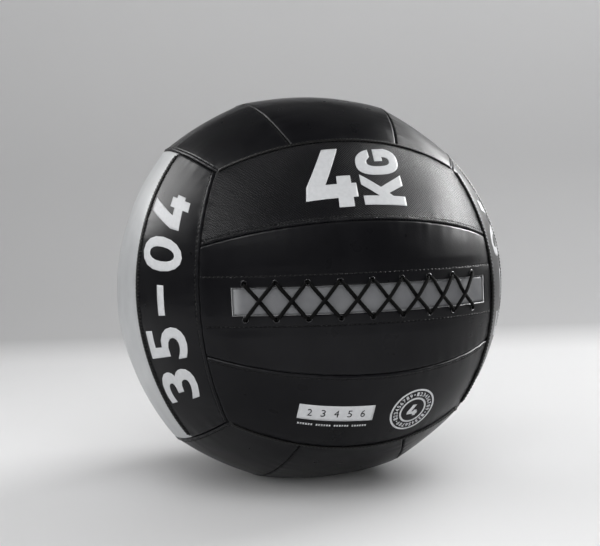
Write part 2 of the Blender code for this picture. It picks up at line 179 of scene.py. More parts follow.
def flatness(span, run, reach):
    """Below 1 away from the seams, because a sewn strip bulges less than a ball does."""
    low, high = span
    hold = panel_flatness_share * (1 - (run / quarter_angle) ** 4)
    return (math.cos((high - low) / 2) / np.cos(reach - (low + high) / 2)) ** hold


def fullness(sewn):
    total = np.ones(sewn.shape[:-1])
    for (side, level), share in edge_fullness_shares.items():
        nearness = sewn @ unit(np.array((side, 0, level), float))
        total += share * np.exp((nearness - 1) / edge_fullness_spread_share)
    return total


def slipped(sewn):
    x, y, z = np.moveaxis(sewn, -1, 0)
    right = cover_shift_share + cover_width_share * x + cover_skew_share * y
    back = cover_skew_share * x + cover_depth_share * y + cover_lean_share * x * z
    return unit(sewn + np.stack([right, back, np.zeros_like(x)], axis=-1))


def cover_points(side, span, run, reach, depth):
    """Points this deep below the cover's outer surface, flattened where the ball stands."""
    sewn = face_direction(side, run, reach)
    radius = seam_radius * fullness(sewn) * flatness(span, run, reach)
    points = slipped(sewn) * (radius - depth)[..., None]
    points[..., 2] = np.maximum(points[..., 2] + centre_height, np.maximum(depth, 0))
    return points


def front_points(angle, height, depth):
    """Points of the laced strip by their angle round the ball and height above the slit."""
    angle, height, depth = np.broadcast_arrays(*(np.asarray(v, float) for v in (angle, height, depth)))
    reach = np.arctan(np.tan(height / ball_radius) / np.cos(angle))
    return cover_points("front", strip_spans[1], angle, reach, depth)


def front_normal(angle, height):
    step = gap / ball_radius
    east = front_points(angle + step, height, 0) - front_points(angle - step, height, 0)
    north = front_points(angle, height + gap, 0) - front_points(angle, height - gap, 0)
    return unit(np.cross(east, north))


def smooth_step(value):
    value = np.clip(value, 0, 1)
    return value * value * (3 - 2 * value)


def bell(value):
    return np.exp(-value * value)


def waves(points, length, seed, count=14):
    """A smooth field from -1 to 1 that varies over about this length."""
    rng = np.random.default_rng(seed)
    turns = unit(rng.normal(size=(count, 3))) * math.tau / length * rng.uniform(0.7, 1.3, (count, 1))
    phases = rng.uniform(0, math.tau, count)
    return np.tanh(np.sin(points @ turns.T + phases).sum(axis=-1) / math.sqrt(count))


# Meshes


def new_object(name, data):
    obj = bpy.data.objects.new(name, data)
    bpy.context.scene.collection.objects.link(obj)
    return obj


def evaluated(obj):
    """A new mesh of what the object's modifiers make."""
    graph = bpy.context.evaluated_depsgraph_get()
    return bpy.data.meshes.new_from_object(obj.evaluated_get(graph), depsgraph=graph)


def mesh_of(name, points, polygons):
    mesh = bpy.data.meshes.new(name)
    mesh.from_pydata(np.asarray(points).tolist(), [], [list(map(int, p)) for p in polygons])
    return mesh


def mesh_from(bm, name):
    mesh = bpy.data.meshes.new(name)
    bm.to_mesh(mesh)
    bm.free()
    return mesh


def dressed(name, shape, surface, nodes=()):
    """Makes a mesh, or points and polygons, a piece that rides on the ball in place of these nodes."""
    mesh = mesh_of(name, *shape) if isinstance(shape, tuple) else shape
    bm = bmesh.new()
    bm.from_mesh(mesh)
    bmesh.ops.recalc_face_normals(bm, faces=bm.faces)
    bm.to_mesh(mesh)
    bm.free()
    mesh.shade_smooth()
    mesh.materials.append(surfaces[surface])
    obj = new_object(name, mesh)
    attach(obj, "root")
    if nodes:
        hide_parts(*nodes)
    return obj


def add_attribute(mesh, name, values):
    kind = "FLOAT" if np.ndim(values) == 1 else "FLOAT_VECTOR"
    field = "value" if kind == "FLOAT" else "vector"
    attribute = mesh.attributes.new(name, kind, "POINT")
    attribute.data.foreach_set(field, np.asarray(values, np.float32).ravel())


def join_meshes(parts):
    """Several (points, polygons) as one."""
    points, polygons, start = [], [], 0
    for part_points, part_polygons in parts:
        points.append(np.asarray(part_points).reshape(-1, 3))
        polygons.extend([[start + int(i) for i in polygon] for polygon in part_polygons])
        start += len(points[-1])
    return np.concatenate(points), polygons


def ring_grid(rings, sides, closed=False):
    """Quads that join rings of points in turn, and the last ring to the first where it is closed."""
    polygons = []
    for i in range(rings if closed else rings - 1):
        j = (i + 1) % rings
        for k in range(sides):
            n = (k + 1) % sides
            polygons.append((i * sides + k, i * sides + n, j * sides + n, j * sides + k))
    return polygons


def tube(points, radii, sides, closed=False, relief=None):
    """A round tube along the points. relief gives its radius as a share, by length and angle."""
    points = np.asarray(points, float)
    rings = len(points)
    beyond = (points[-1], points[0]) if closed else (2 * points[0] - points[1], 2 * points[-1] - points[-2])
    padded = np.vstack([beyond[0], points, beyond[1]])
    ways = unit(padded[2:] - padded[:-2])
    side = unit(np.cross(ways[0], (0.31, 0.52, 0.79)))
    sideways = []
    for way in ways:
        side = unit(side - way * (side @ way))
        sideways.append(side)
    sideways = np.array(sideways)
    upward = np.cross(ways, sideways)
    angle = np.arange(sides) * math.tau / sides
    radii = np.broadcast_to(np.asarray(radii, float), rings)[:, None] * np.ones(sides)
    if relief is not None:
        length = np.concatenate([[0], np.cumsum(np.linalg.norm(np.diff(points, axis=0), axis=1))])
        radii = radii * relief(length[:, None], angle[None, :])
    ring = np.cos(angle)[:, None] * sideways[:, None] + np.sin(angle)[:, None] * upward[:, None]
    skin = (points[:, None] + ring * radii[..., None]).reshape(-1, 3)
    polygons = ring_grid(rings, sides, closed)
    if not closed:
        polygons.append(tuple(range(sides))[::-1])
        polygons.append(tuple((rings - 1) * sides + k for k in range(sides)))
    return skin, polygons


def smooth_path(points, radii, pieces):
    """The points joined by a smooth curve that passes through them, with a radius at each place."""
    values = np.column_stack([points, radii])
    padded = np.vstack([2 * values[0] - values[1], values, 2 * values[-1] - values[-2]])
    out = []
    for i in range(1, len(padded) - 2):
        before, start, end, after = padded[i - 1:i + 3]
        share = np.arange(pieces)[:, None] / pieces
        bend = 2 * before - 5 * start + 4 * end - after
        twist = 3 * start - before - 3 * end + after
        out.append(start + ((end - before) * share + bend * share ** 2 + twist * share ** 3) / 2)
    out = np.vstack([*out, values[-1:]])
    return out[:, :3], out[:, 3]


# Materials

falling_rib_pitch = 1.7 * MM
falling_rib_turn = math.radians(-48)
rising_rib_pitch = 1.65 * MM
rising_rib_turn = math.radians(55)
rib_depth = 0.38 * MM
plain_grain_depth = 0.022 * MM
ribbed_grain_depth = 0.007 * MM
gloss_spread = 0.03
cut_edge_colour = (0.7, 0.7, 0.71)


class Paint:
    """A new material. Its methods add nodes to it and give their outputs."""

    def __init__(self, name, **constants):
        self.material = bpy.data.materials.new(name)
        self.material.use_nodes = True
        self.tree = self.material.node_tree
        self.shader = self.tree.nodes["Principled BSDF"]
        self.fill(self.shader, constants)
        self.where = self.add("TexCoord", "Object")

    def fill(self, node, sockets):
        """Links or sets sockets, which are given by name or number."""
        for key, value in sockets.items():
            socket = node.inputs[key if isinstance(key, int) else key.replace("_", " ")]
            if isinstance(value, bpy.types.NodeSocket):
                self.tree.links.new(value, socket)
            else:
                socket.default_value = (*value, 1.0) if socket.type == "RGBA" else value

    def add(self, kind, output, settings=(), numbered=(), **sockets):
        node = self.tree.nodes.new("ShaderNode" + kind)
        for key, value in dict(settings).items():
            setattr(node, key, value)
        self.fill(node, dict(numbered))
        self.fill(node, sockets)
        return node.outputs[output]

    def noise(self, size, detail=3.0):
        """Noise whose lumps are about this many metres across."""
        return self.add("TexNoise", "Fac", Vector=self.where, Scale=1 / size, Detail=detail)

    def cells(self, size, feature="F1"):
        return self.add("TexVoronoi", "Distance", {"feature": feature}, Vector=self.where, Scale=1 / size)

    def waves(self, pitch, where, way="X"):
        settings = {"bands_direction": way}
        return self.add("TexWave", "Fac", settings, Vector=where, Scale=math.tau / 20 / pitch)

    def attribute(self, name, output="Fac"):
        return self.add("Attribute", output, {"attribute_name": name})

    def between(self, value, low=0.0, high=1.0, from_low=0.3, from_high=0.7):
        ends = {"From_Min": from_low, "From_Max": from_high, "To_Min": low, "To_Max": high}
        return self.add("MapRange", "Result", Value=value, **ends)

    def maths(self, operation, first, second):
        return self.add("Math", 0, {"operation": operation}, {0: first, 1: second})

    def mixed(self, share, first, second):
        return self.add("Mix", 2, {"data_type": "RGBA"}, {6: first, 7: second}, Factor=share)

    def finished(self, colour, reliefs, **sockets):
        """The material. Each relief is a height from 0 to 1, and how many metres that stands for."""
        normal = {}
        for height, distance in reliefs:
            bump = self.add("Bump", "Normal", Height=height, Strength=1.0, Distance=distance, **normal)
            normal = {"Normal": bump}
        self.fill(self.shader, {"Base Color": colour, **sockets, **normal})
        return self.material


def ribs(paint, pitch, turn):
    """Ribs across the flat cut leather, turned by this angle."""
    sewn = paint.attribute("sewn", "Vector")
    turned = paint.add("VectorRotate", "Vector", {"rotation_type": "Z_AXIS"}, Vector=sewn, Angle=turn)
    return paint.waves(pitch, turned)


def leather(name, dark, light, worn, roughness, specular, ribbed=False):
    """Coated synthetic leather: a pebble grain, uneven gloss and paler, duller rubbed edges."""
    paint = Paint(name, Specular_IOR_Level=specular)
    colour = paint.mixed(paint.between(paint.noise(28 * MM)), dark, light)
    rubbed = paint.maths("MULTIPLY", paint.attribute("edge"), paint.between(paint.noise(6 * MM), 0.1))
    colour = paint.mixed(paint.maths("MULTIPLY", rubbed, 0.55), colour, worn)
    colour = paint.mixed(paint.attribute("cut"), colour, cut_edge_colour)
    gloss = paint.between(paint.noise(18 * MM), roughness - gloss_spread, roughness + gloss_spread)
    gloss = paint.maths("ADD", gloss, paint.maths("MULTIPLY", rubbed, 0.12))
    grain_depth = ribbed_grain_depth if ribbed else plain_grain_depth
    reliefs = [(paint.noise(30 * MM, 1.0), 0.2 * MM), (paint.noise(0.7 * MM, 2.0), grain_depth)]
    if ribbed:
        falling = ribs(paint, falling_rib_pitch, falling_rib_turn)
        rising = ribs(paint, rising_rib_pitch, rising_rib_turn)
        weave = paint.maths("MAXIMUM", falling, paint.maths("MULTIPLY", rising, 0.9))
        reliefs.append((weave, rib_depth))
    else:
        reliefs.append((paint.cells(1.3 * MM), 0.03 * MM))
    return paint.finished(colour, reliefs, Roughness=gloss)


def woven(name, dark, light, roughness, pitch, relief):
    """Cloth or webbing with crossing yarns."""
    paint = Paint(name, Roughness=roughness, Sheen_Weight=0.15)
    across, along = (paint.waves(pitch, paint.where, way) for way in ("DIAGONAL", "Z"))
    yarns = paint.maths("MULTIPLY", across, along)
    colour = paint.mixed(paint.maths("MULTIPLY", yarns, paint.noise(5 * MM)), dark, light)
    return paint.finished(colour, [(yarns, relief), (paint.noise(0.5 * MM), relief / 3)])


def thready(name, dark, light, roughness, sheen, grain=0.6 * MM, relief=0.12 * MM, specular=0.3):
    """Thread, cord, twine, fibre or sand: a rough body with fine streaks."""
    paint = Paint(name, Roughness=roughness, Sheen_Weight=sheen, Specular_IOR_Level=specular)
    streaks = paint.noise(grain, 4.0)
    return paint.finished(paint.mixed(paint.between(streaks), dark, light), [(streaks, relief)])


def tongue_cloth():
    """Grey coated cloth behind the laces, with painted light towards its left end and painted highlights
    along its hems.
    """
    paint = Paint("grey_tongue_cloth", Specular_IOR_Level=0.25)
    mottle = paint.noise(16 * MM)
    colour = paint.mixed(paint.between(mottle), (0.128, 0.131, 0.138), (0.165, 0.168, 0.176))
    # Painted light: the edge attribute lightens the cloth towards its left end and along its hems, standing
    # in for light falling there.
    colour = paint.mixed(paint.attribute("edge"), colour, (0.38, 0.385, 0.395))
    gloss = paint.between(paint.noise(5 * MM), 0.42, 0.55)
    return paint.finished(colour, [(mottle, 0.5 * MM), (paint.cells(0.9 * MM), 0.05 * MM)], Roughness=gloss)


def print_ink():
    """White transfer print with a faint crackle and thin spots."""
    paint = Paint("white_print", Specular_IOR_Level=0.4)
    thin = paint.between(paint.noise(3 * MM), 0.0, 1.0, 0.35, 0.75)
    colour = paint.mixed(thin, (0.54, 0.55, 0.565), (0.60, 0.61, 0.625))
    cracks = paint.between(paint.cells(2.2 * MM, "DISTANCE_TO_EDGE"), 0.0, 1.0, 0.0, 0.12)
    reliefs = [(cracks, 0.03 * MM), (paint.noise(0.8 * MM), 0.05 * MM)]
    return paint.finished(colour, reliefs, Roughness=paint.between(thin, 0.45, 0.6, 0.0, 1.0))


def enamel():
    """Black enamelled metal, thinner and brighter in small chips."""
    paint = Paint("black_enamelled_metal", Metallic=0.6, Coat_Weight=0.2)
    chips = paint.between(paint.noise(1.5 * MM, 5.0), 0.0, 1.0, 0.62, 0.72)
    colour = paint.mixed(chips, (0.03, 0.03, 0.032), (0.25, 0.25, 0.25))
    gloss = paint.between(paint.noise(2 * MM), 0.18, 0.32)
    return paint.finished(colour, [(paint.noise(1.2 * MM), 0.03 * MM)], Roughness=gloss)


black_tones = ((0.0044, 0.0044, 0.0054), (0.0068, 0.0068, 0.008), (0.02, 0.02, 0.022))
silver_tones = ((0.42, 0.43, 0.44), (0.48, 0.49, 0.50), (0.58, 0.59, 0.60))
webbing_tones = ((0.008, 0.008, 0.009), (0.02, 0.02, 0.022))
lining_tones = ((0.02, 0.02, 0.022), (0.06, 0.06, 0.065))
canvas_tones = ((0.22, 0.19, 0.13), (0.36, 0.32, 0.24))
cord_tones = ((0.0015, 0.0015, 0.0015), (0.004, 0.004, 0.004))
thread_tones = ((0.002, 0.002, 0.002), (0.005, 0.005, 0.005))
fibre_tones = ((0.45, 0.44, 0.40), (0.72, 0.71, 0.68))
twine_tones = ((0.34, 0.26, 0.16), (0.56, 0.46, 0.3))
sand_tones = ((0.28, 0.21, 0.13), (0.55, 0.46, 0.32))
surfaces = {
    "black": leather("black_leather", *black_tones, 0.30, 0.13),
    "ribbed": leather("ribbed_leather", *black_tones, 0.31, 0.14, ribbed=True),
    "silver": leather("silver_leather", *silver_tones, 0.42, 0.5),
    "tongue": tongue_cloth(),
    "webbing": woven("black_webbing", *webbing_tones, 0.8, 1.1 * MM, 0.2 * MM),
    "lining": woven("lining_cloth", *lining_tones, 0.9, 1.4 * MM, 0.15 * MM),
    "canvas": woven("core_canvas", *canvas_tones, 0.9, 1.0 * MM, 0.2 * MM),
    "cord": thready("lace_cord", *cord_tones, 0.8, 0.0, specular=0.09),
    "thread": thready("sewing_thread", *thread_tones, 0.4, 0.0, 0.4 * MM, 0.05 * MM),
    "stuffing": thready("fibre_stuffing", *fibre_tones, 0.95, 0.4, 1.5 * MM, 0.8 * MM),
    "twine": thready("tie_twine", *twine_tones, 0.9, 0.3, 0.5 * MM, 0.2 * MM),
    "sand": thready("ballast_sand", *sand_tones, 0.95, 0.0, 0.7 * MM, 0.4 * MM),
    "metal": enamel(),
    "print": print_ink(),
}


# Cover panels


def is_outer(strip, edge):
    return (strip, edge) in ((0, "low"), (2, "high"))


def is_inner(strip, edge):
    return (strip, edge) in ((0, "high"), (2, "low"))


def edge_style(side, strip, edge):
    """How this edge of a panel is sewn to its neighbour."""
    if edge in ("start", "end"):
        return "plain"
    if strip == 1:
        return "bound" if side in ("left", "right") else "plain"
    if is_inner(strip, edge):
        return {"left": "whip", "right": "whip", "top": "plain", "bottom": "plain"}.get(side, "ridge")
    closing = side in ("front", "back") or (side, strip) == ("right", 2)
    return "plain" if closing else "ridge"


def even(length):
    """As many evenly spread stops as fit in a length."""
    return [("share", 0)] * int(length / open_step)


def edged(middle):
    """These stops between the ones that are counted from either seam."""
    low, high = ([(kind, stop) for stop in fine_edge_stops] for kind in ("low", "high"))
    return low + middle + high[::-1]


def across_stops(width, laced):
    """Places across a panel, counted from either seam or by their height above the slit."""
    if not laced:
        return edged(even(width - 2 * fine_edge_stops[-1]))
    stitch = flap_stitch_height + topstitch_half * np.arange(-3, 4) * 0.8
    hem = slit_half + flap_hem_roll * hem_step_shares
    flap = [("share", 0)] * (round((flap_stitch_height - slit_half) / open_step) - 1)
    outer = even(width / 2 - fine_edge_stops[-1] - stitch[-1])
    heights = [*(("height", h) for h in hem), *flap, *(("height", h) for h in stitch)]
    mirrored = [(kind, -value) for kind, value in reversed(heights)]
    return edged(outer + mirrored + heights + outer)


def along_stops(laced):
    length = 2 * quarter_angle * ball_radius
    if not laced:
        return edged(even(length - 2 * fine_edge_stops[-1]))
    hem = flap_hem_roll / ball_radius * hem_step_shares
    left = [("angle", slit_left_angle - h) for h in reversed(hem)]
    right = [("angle", slit_right_angle + h) for h in hem]
    before = (slit_left_angle + quarter_angle) * ball_radius - fine_edge_stops[-1]
    after = (quarter_angle - slit_right_angle) * ball_radius - fine_edge_stops[-1]
    over = (slit_right_angle - slit_left_angle) * ball_radius
    before, over, after = ([("share", 0)] * max(round(part / open_step), 1) for part in (before, over, after))
    return edged(before + left + over + right + after)


def seam_place(seam, distance, other, sign):
    """The angle at this distance from a seam, where the other angle is given."""
    reach = np.sin(distance / seam_radius)
    c, s = math.cos(seam), math.sin(seam)
    stretch = 1 + np.tan(other) ** 2
    root = np.sqrt((c * s) ** 2 - (c * c - reach ** 2) * (s * s - reach ** 2 * stretch))
    return np.arctan((c * s + sign * root) / (c * c - reach ** 2))


def placed(stops, other, low, high):
    """Angles for a list of stops, one column of the result for each."""
    angles = np.zeros((len(other), len(stops)))
    known = []
    for i, (kind, value) in enumerate(stops):
        if kind == "low":
            angles[:, i] = seam_place(low, value, other[:, i], 1)
        elif kind == "high":
            angles[:, i] = seam_place(high, value, other[:, i], -1)
        elif kind == "height":
            angles[:, i] = np.arctan(math.tan(value / ball_radius) / np.cos(other[:, i]))
        elif kind == "angle":
            angles[:, i] = value
        if kind != "share":
            known.append(i)
    for first, last in zip(known, known[1:]):
        share = (np.arange(first + 1, last) - first) / (last - first)
        angles[:, first + 1:last] = angles[:, [first]] + (angles[:, [last]] - angles[:, [first]]) * share
    return angles


def panel_grid(span, columns, rows, inset=0.0):
    """The run and reach of every grid point, whose stops are held at true distances from the seams."""
    kept_share = 1 - inset / fine_edge_stops[-1]

    def moved(stops):
        return [(kind, inset + value * kept_share if kind in edges else value) for kind, value in stops]

    columns, rows = moved(columns), moved(rows)
    run = np.zeros((len(columns), len(rows)))
    reach = run + sum(span) / 2
    for _ in range(7):
        reach = placed(rows, run, *span)
        run = placed(columns, reach.T, -quarter_angle, quarter_angle).T
    return run, reach


def seam_frame(side, span, edge):
    """The seam's great circle: its middle, the way along it and the way into the panel."""
    outward, along, across = faces[side]
    if edge in ("low", "high"):
        angle, way, lift = span[edge == "high"], along, across
    else:
        angle, way, lift = (quarter_angle if edge == "end" else -quarter_angle), across, along
    middle = outward * math.cos(angle) + lift * math.sin(angle)
    inward = lift * math.cos(angle) - outward * math.sin(angle)
    return middle, way, inward if edge in ("low", "start") else -inward


def seam_distances(side, span, run, reach):
    """For each edge of a panel, how far its points are from the seam and how far along it they lie."""
    sewn = face_direction(side, run, reach)
    for edge in edges:
        middle, way, inward = seam_frame(side, span, edge)
        off = seam_radius * np.arcsin(np.clip(sewn @ inward, -1, 1))
        yield edge, off, seam_radius * np.arctan2(sewn @ way, sewn @ middle)


def rolled(off, width, drop):
    """How far an edge has turned down, at this distance from it."""
    return drop * (1 - np.sqrt(1 - np.clip(1 - off / width, 0, 1) ** 2))


def edge_relief(style, off, along, seed):
    """The height of a panel's surface near one seam: its ridge, stitch groove and puckers."""
    line = np.stack([along, off * 0, off * 0], -1)
    uneven = waves(line, uneven_length, seed)
    height = np.zeros_like(off)
    if style == "ridge":
        pulled = np.cos(math.tau * along / stitch_pitch)
        full = 1 + 0.25 * uneven - 0.3 * pulled
        height += ridge_height * full * bell((off - ridge_middle) / ridge_half)
        height -= topstitch_depth * (0.72 + 0.28 * pulled) * bell((off - topstitch_line) / topstitch_half)
    gather = waves(line, pucker_length, seed + 1)
    reach = pucker_reach * (1 + 0.3 * uneven)
    return height + pucker_depth * gather * np.exp(-off / reach) * smooth_step(off / pucker_start)


def slit_height(run, reach):
    """How high a point of the laced strip lies above the middle of the slit."""
    return ball_radius * np.arctan(np.tan(reach) * np.cos(run))


def slit_relief(run, reach):
    """The laced strip's own relief: stitch lines along both flaps, rolled hems, dents at the eyelets."""
    height = slit_height(run, reach)
    relief = np.zeros_like(run)
    for line in (flap_stitch_height, -flap_stitch_height):
        holes = (0.5 + 0.5 * np.cos(math.tau * run * ball_radius / stitch_pitch)) ** 2
        relief -= topstitch_depth * 0.9 * holes * bell((height - line) / topstitch_half)
    beside = np.maximum(slit_left_angle - run, run - slit_right_angle) * ball_radius
    relief -= rolled(np.maximum(np.abs(height) - slit_half, beside), flap_hem_roll, flap_hem_drop)
    for angle, _, lift in eyelet_places():
        far = np.hypot((run - angle) * ball_radius, height - lift)
        beyond = smooth_step((far - eyelet_lip_radius) / MM)
        relief -= eyelet_dent_depth * bell(far / eyelet_dent_reach) * beyond
    return relief


def eyelet_angle(pair):
    return eyelet_middle_angle + eyelet_pitch_angle * (pair - (eyelet_pairs - 1) / 2)


def eyelet_places():
    for pair in range(eyelet_pairs):
        for row, sign in (("upper", 1), ("lower", -1)):
            yield eyelet_angle(pair), f"{row}_eyelet_{pair + 1}", sign * eyelet_row_height


def eyelet_matrix(angle, height):
    """Stands a shape on the cover at an eyelet, its own z axis outward."""
    matrix = Vector(front_normal(angle, height)).to_track_quat("Z", "Y").to_matrix().to_4x4()
    matrix.translation = Vector(front_points(angle, height, 0))
    return matrix


def panel_relief(panel, run, reach, swelling):
    """How far each point stands above the CAD's surface, and how near a seam it is, from 0 to 1."""
    side, strip, seed = panel["side"], panel["strip"], panel["seed"]
    flat = face_direction(side, run, reach) * ball_radius
    total = np.zeros_like(run)
    keep = np.ones_like(run)
    nearest = np.full_like(run, ball_radius)
    for number, (edge, off, along) in enumerate(seam_distances(side, panel["span"], run, reach)):
        style = edge_style(side, strip, edge)
        total += edge_relief(style, off, along, seed + 10 * number)
        width, drop = edge_rolls[style]
        keep *= 1 - rolled(off, width, drop) / drop
        nearest = np.minimum(nearest, off)
    total -= (1 - keep) * seam_drop
    soft = sum(depth * waves(flat, length, seed + 5 + i) for i, (depth, length) in enumerate(soft_lumps))
    quiet = 1.0
    if panel["laced"]:
        # Hardware sits at its own height on the flaps, so nothing swells there.
        quiet = smooth_step((np.abs(slit_height(run, reach)) - tape_outer_height) / quiet_reach)
        total += slit_relief(run, reach)
    total += (soft + swelling) * quiet * smooth_step(nearest / seam_reach)
    return total, np.exp(-nearest / worn_reach)


def grid_quads(columns, rows):
    corner = np.arange((columns - 1) * rows).reshape(columns - 1, rows)[:, :-1].ravel()
    return np.column_stack([corner, corner + rows, corner + rows + 1, corner + 1])


def border_loop(first, last, low, high, rows):
    """The grid points round a rectangle of the grid, in order."""
    loop = [i * rows + low for i in range(first, last)]
    loop += [last * rows + j for j in range(low, high)]
    loop += [i * rows + high for i in range(last, first, -1)]
    return np.array(loop + [first * rows + j for j in range(high, low, -1)])


def ring_quads(upper, lower):
    return np.column_stack([upper, lower, np.roll(lower, -1), np.roll(upper, -1)])


def slit_window(columns, rows):
    """The grid columns and rows that bound the slit."""
    angles = [i for i, (kind, _) in enumerate(columns) if kind == "angle"]
    heights = [i for i, (kind, value) in enumerate(rows) if kind == "height" and abs(value) == slit_half]
    half = len(angles) // 2
    return angles[half - 1], angles[half], heights[0], heights[1]


def without_slit(quads, columns, rows):
    """The quads with the slit left out, and the loop of points round it."""
    first, last, low, high = slit_window(columns, rows)
    column, row = quads[:, 0] // len(rows), quads[:, 0] % len(rows)
    inside = (column >= first) & (column < last) & (row >= low) & (row < high)
    return quads[~inside], border_loop(first, last, low, high, len(rows))


def panel_skins(panel, columns, rows, swell):
    """The points of the sheet's two faces and of its turned-in edge, with what its material reads."""
    side, span = panel["side"], panel["span"]
    run, reach = panel_grid(span, columns, rows)
    inner_run, inner_reach = panel_grid(span, columns, rows, leather_thickness)
    relief, edge = panel_relief(panel, run, reach, swell(run, reach))
    loop = border_loop(0, len(columns) - 1, 0, len(rows) - 1, len(rows))
    deep = np.full(len(loop), turned_depth)
    skins = [
        cover_points(side, span, run, reach, -relief),
        cover_points(side, span, inner_run, inner_reach, leather_thickness - relief),
        cover_points(side, span, run.ravel()[loop], reach.ravel()[loop], deep),
        cover_points(side, span, inner_run.ravel()[loop], inner_reach.ravel()[loop], deep),
    ]
    flat = np.stack([run * ball_radius, reach * ball_radius, run * 0], axis=-1).reshape(-1, 3)
    fields = {
        "edge": np.concatenate([edge.ravel(), edge.ravel(), np.ones(2 * len(loop))]),
        "sewn": np.concatenate([flat, flat, flat[loop], flat[loop]]),
    }
    return skins, loop, fields


def panel_mesh(panel, swell):
    """A closed sheet: the outer face, its turned-in edge and its inner face."""
    low, high = panel["span"]
    columns = along_stops(panel["laced"])
    rows = across_stops((high - low) * ball_radius, panel["laced"])
    skins, loop, fields = panel_skins(panel, columns, rows, swell)
    count = len(columns) * len(rows)
    quads = grid_quads(len(columns), len(rows))
    fields["cut"] = np.zeros(len(fields["edge"]))
    walls = []
    if panel["laced"]:
        quads, hole = without_slit(quads, columns, rows)
        walls.append(ring_quads(hole + count, hole))
        fields["cut"][hole] = fields["cut"][hole + count] = 1
    ring = 2 * count + np.arange(len(loop))
    rings = (loop, ring, ring + len(loop), loop + count)
    walls += [ring_quads(upper, lower) for upper, lower in zip(rings, rings[1:])]
    polygons = np.concatenate([quads, quads[:, ::-1] + count, *walls])
    points = np.concatenate([skin.reshape(-1, 3) for skin in skins])
    panel["tree"] = BVHTree.FromPolygons(points[:count].tolist(), quads.tolist())
    used, polygons = np.unique(polygons, return_inverse=True)
    mesh = mesh_of(panel["name"], points[used], polygons.reshape(-1, 4))
    for name, values in fields.items():
        add_attribute(mesh, name, values[used])
    return mesh


def cut_eyelet_holes(obj):
    """Drills the flaps for the eyelets."""
    bm = bmesh.new()
    radius = eyelet_barrel_radius + gap / 2
    for angle, _, height in eyelet_places():
        bmesh.ops.create_cone(
            bm, cap_ends=True, segments=20, radius1=radius, radius2=radius, depth=drill_depth,
            matrix=eyelet_matrix(angle, height),
        )
    drill = new_object("eyelet_drill", mesh_from(bm, "eyelet_drill"))
    add_cut(obj, drill)
    apply_modifiers(obj)
    bpy.data.objects.remove(drill)


def add_cut(obj, cutter):
    cut = obj.modifiers.new("cut", "BOOLEAN")
    cut.solver = "EXACT"
    cut.object = cutter


def apply_modifiers(obj):
    mesh = evaluated(obj)
    obj.modifiers.clear()
    obj.data = mesh
    mesh.shade_smooth()


# Swelling of the stuffed cover, from a short cloth simulation

swell_step = 7.0 * MM
swell_cap = 1.6 * MM
swell_slack = 0.9 * MM
swell_frames = 16
even_passes = 24
cloth_settings = {
    "quality": 5, "mass": 0.3, "tension_stiffness": 25, "compression_stiffness": 25, "bending_stiffness": 2.0,
    "use_pressure": True, "uniform_pressure_force": 4, "shrink_min": -0.006, "vertex_group_mass": "sewn",
}


def even_grid(span, columns, rows):
    """The run and reach of every point of an even grid over a panel."""
    return np.meshgrid(
        np.linspace(-quarter_angle, quarter_angle, columns + 1), np.linspace(*span, rows + 1), indexing="ij"
    )


def swell_grid(span):
    columns = round(2 * quarter_angle * ball_radius / swell_step)
    return even_grid(span, columns, max(6, round((span[1] - span[0]) * ball_radius / swell_step)))


def slack_start(run, reach, span):
    """A panel starts a little slack in its middle, because it swells."""
    across = (reach - span[0]) / (span[1] - span[0])
    along = (run + quarter_angle) / (2 * quarter_angle)
    return swell_slack * np.sin(math.pi * across) * np.sin(math.pi * along) ** 0.5


def swell_mesh(panels):
    parts, pinned = [], []
    for panel in panels:
        run, reach = swell_grid(panel["span"])
        depth = slack_start(run, reach, panel["span"])
        points = cover_points(panel["side"], panel["span"], run, reach, depth)
        edge = np.zeros(run.shape, bool)
        edge[[0, -1], :] = True
        edge[:, [0, -1]] = True
        pinned.append(edge.ravel())
        parts.append((points, grid_quads(*run.shape)))
    points, polygons = join_meshes(parts)
    return points, polygons, np.concatenate(pinned)


def simulate_swelling(panels):
    """Inflates the sewn panels for a few frames and gives how far each point rose, capped."""
    points, polygons, pinned = swell_mesh(panels)
    obj = new_object("swelling", mesh_of("swelling", points, polygons))
    group = obj.vertex_groups.new(name="sewn")
    group.add(np.flatnonzero(pinned).tolist(), 1.0, "REPLACE")
    cloth = obj.modifiers.new("swell", "CLOTH")
    for key, value in cloth_settings.items():
        setattr(cloth.settings, key, value)
    cloth.settings.effector_weights.gravity = 0
    cloth.point_cache.frame_end = swell_frames
    for number in range(1, swell_frames + 1):
        bpy.context.scene.frame_set(number)
    swollen = obj.evaluated_get(bpy.context.evaluated_depsgraph_get()).data
    moved = np.zeros(len(points) * 3, np.float32)
    swollen.vertices.foreach_get("co", moved)
    bpy.context.scene.frame_set(1)
    bpy.data.objects.remove(obj)
    outward = unit(points - (0, 0, centre_height))
    rise = ((moved.reshape(-1, 3) - points) * outward).sum(axis=1)
    return np.clip(np.nan_to_num(rise), -swell_cap, swell_cap)


def sampled(field, u, v):
    """Smooth values of a grid at fractional places."""
    padded = np.pad(field, 1, mode="edge")
    u = np.clip(u, 0, field.shape[0] - 1.0001)
    v = np.clip(v, 0, field.shape[1] - 1.0001)
    i, j = u.astype(int), v.astype(int)

    def weights(t):
        return (
            (-t + 2 * t ** 2 - t ** 3) / 2, (2 - 5 * t ** 2 + 3 * t ** 3) / 2,
            (t + 4 * t ** 2 - 3 * t ** 3) / 2, (t ** 3 - t ** 2) / 2,
        )

    total = np.zeros_like(u)
    for a, first in enumerate(weights(u - i)):
        for b, second in enumerate(weights(v - j)):
            at = (np.minimum(i + a, padded.shape[0] - 1), np.minimum(j + b, padded.shape[1] - 1))
            total += first * second * padded[at]
    return total


def evened(field):
    """Spreads the rise of a panel evenly, with its sewn edges held down."""
    for _ in range(even_passes):
        inner = (field[:-2, 1:-1] + field[2:, 1:-1] + field[1:-1, :-2] + field[1:-1, 2:]) / 4
        field[1:-1, 1:-1] = inner
    return field


